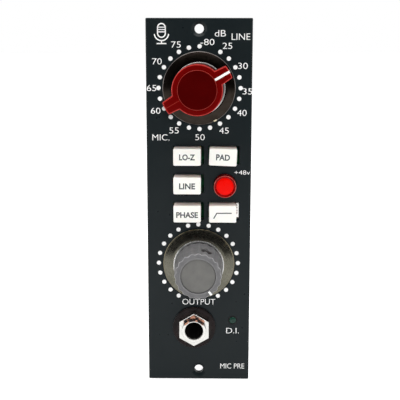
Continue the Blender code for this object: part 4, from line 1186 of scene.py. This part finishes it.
def label():
    """A plain paper label on the closed side of the chassis, with a few ruled lines."""
    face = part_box("chassis")[0].x
    sheet = block((face - 0.08 * MM, 48.0 * MM, 24.0 * MM),
                  (face - 0.01 * MM, 92.0 * MM, 44.0 * MM), 0.0)
    place("paper_label", sheet, "sticker", "module").data.shade_flat()
    lines = [block((face - 0.1 * MM, 51.0 * MM, z * MM),
                   (face - 0.07 * MM, (51.0 + long) * MM, (z + 0.5) * MM))
             for z, long in ((40.5, 38.0), (37.0, 30.0), (33.5, 34.0))]
    lines += [block((face - 0.1 * MM, (52.0 + 1.7 * i) * MM, 26.5 * MM),
                    (face - 0.07 * MM, (52.0 + 1.7 * i + 0.4 + 0.35 * (i * 7 % 3)) * MM,
                     31.0 * MM)) for i in range(16)]
    place("label_rules", together(lines), "dark_ink", "module").data.shade_flat()


# Stage, light and camera


def stage_material():
    """White table. What it throws back on the object fades away in front, as a small one does."""
    mat = Finish("stage_white", Roughness=0.7, Specular_IOR_Level=0.1,
                 Emission_Color=(1.0, 1.0, 1.0, 1.0))
    seen = mat.camera_ray()
    depth = mat.parts(mat.where)["Y"]
    near = mat.spread(depth, 0.06, 1.0, -0.75, -0.25)
    faint = mat.noise(3.0, 2)
    white = mat.mixed(faint, (0.86, 0.86, 0.86), (0.90, 0.90, 0.90))
    dim = mat.mixed(near, (0.02, 0.02, 0.02), (0.5, 0.5, 0.5))
    mat.set("Base Color", mat.mixed(seen, dim, white))
    glow = mat.times(near, 0.35)
    mat.set("Emission Strength", mat.either(seen, glow, 0.75))
    return mat.made


def stage():
    """A pale lit table under the panel's lower edge."""
    bm = bmesh.new()
    bmesh.ops.create_circle(bm, cap_ends=True, radius=6.0, segments=96)
    mesh = bpy.data.meshes.new("floor")
    bm.to_mesh(mesh)
    bm.free()
    mesh.materials.append(stage_material())
    floor = bpy.data.objects.new("floor", mesh)
    floor.location.z = -0.2 * MM
    bpy.context.scene.collection.objects.link(floor)


def soft_box(name, at, target, width, height, power):
    light = bpy.data.lights.new(name, "AREA")
    light.shape = "RECTANGLE"
    light.size, light.size_y = width, height
    light.energy = power
    made = bpy.data.objects.new(name, light)
    made.location = at
    made.rotation_euler = (Vector(target) - Vector(at)).to_track_quat("-Z", "Y").to_euler()
    bpy.context.scene.collection.objects.link(made)
    return made


def lighting():
    world = bpy.data.worlds.new("studio")
    bpy.context.scene.world = world
    world.use_nodes = True
    sky = Nodes(world.node_tree)
    background = sky.tree.nodes["Background"].inputs
    direction = sky.node("ShaderNodeTexCoord").outputs["Generated"]
    behind = sky.spread(sky.parts(direction)["Y"], 0.03, 0.8, -0.1, 0.5)
    sky.join(background["Strength"], sky.either(sky.camera_ray(), behind, 1.0))
    sky.join(background["Color"], (1.0, 1.0, 1.0, 1.0))
    aim = (0.0, 0.0, PANEL_MID_Z)
    soft_box("left_box", (-0.98, -0.05, 0.27), aim, 0.4, 0.6, 3.0)
    soft_box("right_box", (0.98, 0.0, 0.25), aim, 0.4, 0.6, 2.5)
    soft_box("top_box", (0.0, -0.17, 0.86), aim, 1.5, 0.4, 6.5)
    fill = soft_box("front_fill", (0.12, -1.3, 0.44), aim, 0.3, 0.3, 11.0)
    fill.visible_glossy = False


def camera():
    made = bpy.data.cameras.new("camera")
    made.lens, made.sensor_width = 75.27, 36.0
    made.clip_start, made.clip_end = 0.01, 50.0
    holder = bpy.data.objects.new("camera", made)
    pitch, yaw, roll = 0.1941, 0.0134, 0.0040
    turn = Matrix.Rotation(roll, 3, "Z") @ Matrix.Rotation(yaw, 3, "Y") @ Matrix.Rotation(pitch, 3,
                                                                                          "X")
    right = Vector((turn[0][0], turn[0][2], -turn[0][1]))
    up = -Vector((turn[1][0], turn[1][2], -turn[1][1]))
    forward = Vector((turn[2][0], turn[2][2], -turn[2][1]))
    pose = Matrix((right, up, -forward)).transposed().to_4x4()
    pose.translation = (4.444 * MM, -300.20 * MM, 127.285 * MM)
    holder.matrix_world = pose
    bpy.context.scene.collection.objects.link(holder)
    bpy.context.scene.camera = holder
    bpy.context.scene.view_settings.view_transform = "Standard"


def main():
    dress_cad_nodes()
    panel_film()
    panel_print()
    gain_knob()
    output_knob()
    button_caps()
    window_teeth()
    phantom_button()
    jack()
    lamp()
    small_parts()
    card_contacts()
    side_screws()
    label()
    stage()
    lighting()
    camera()


main()
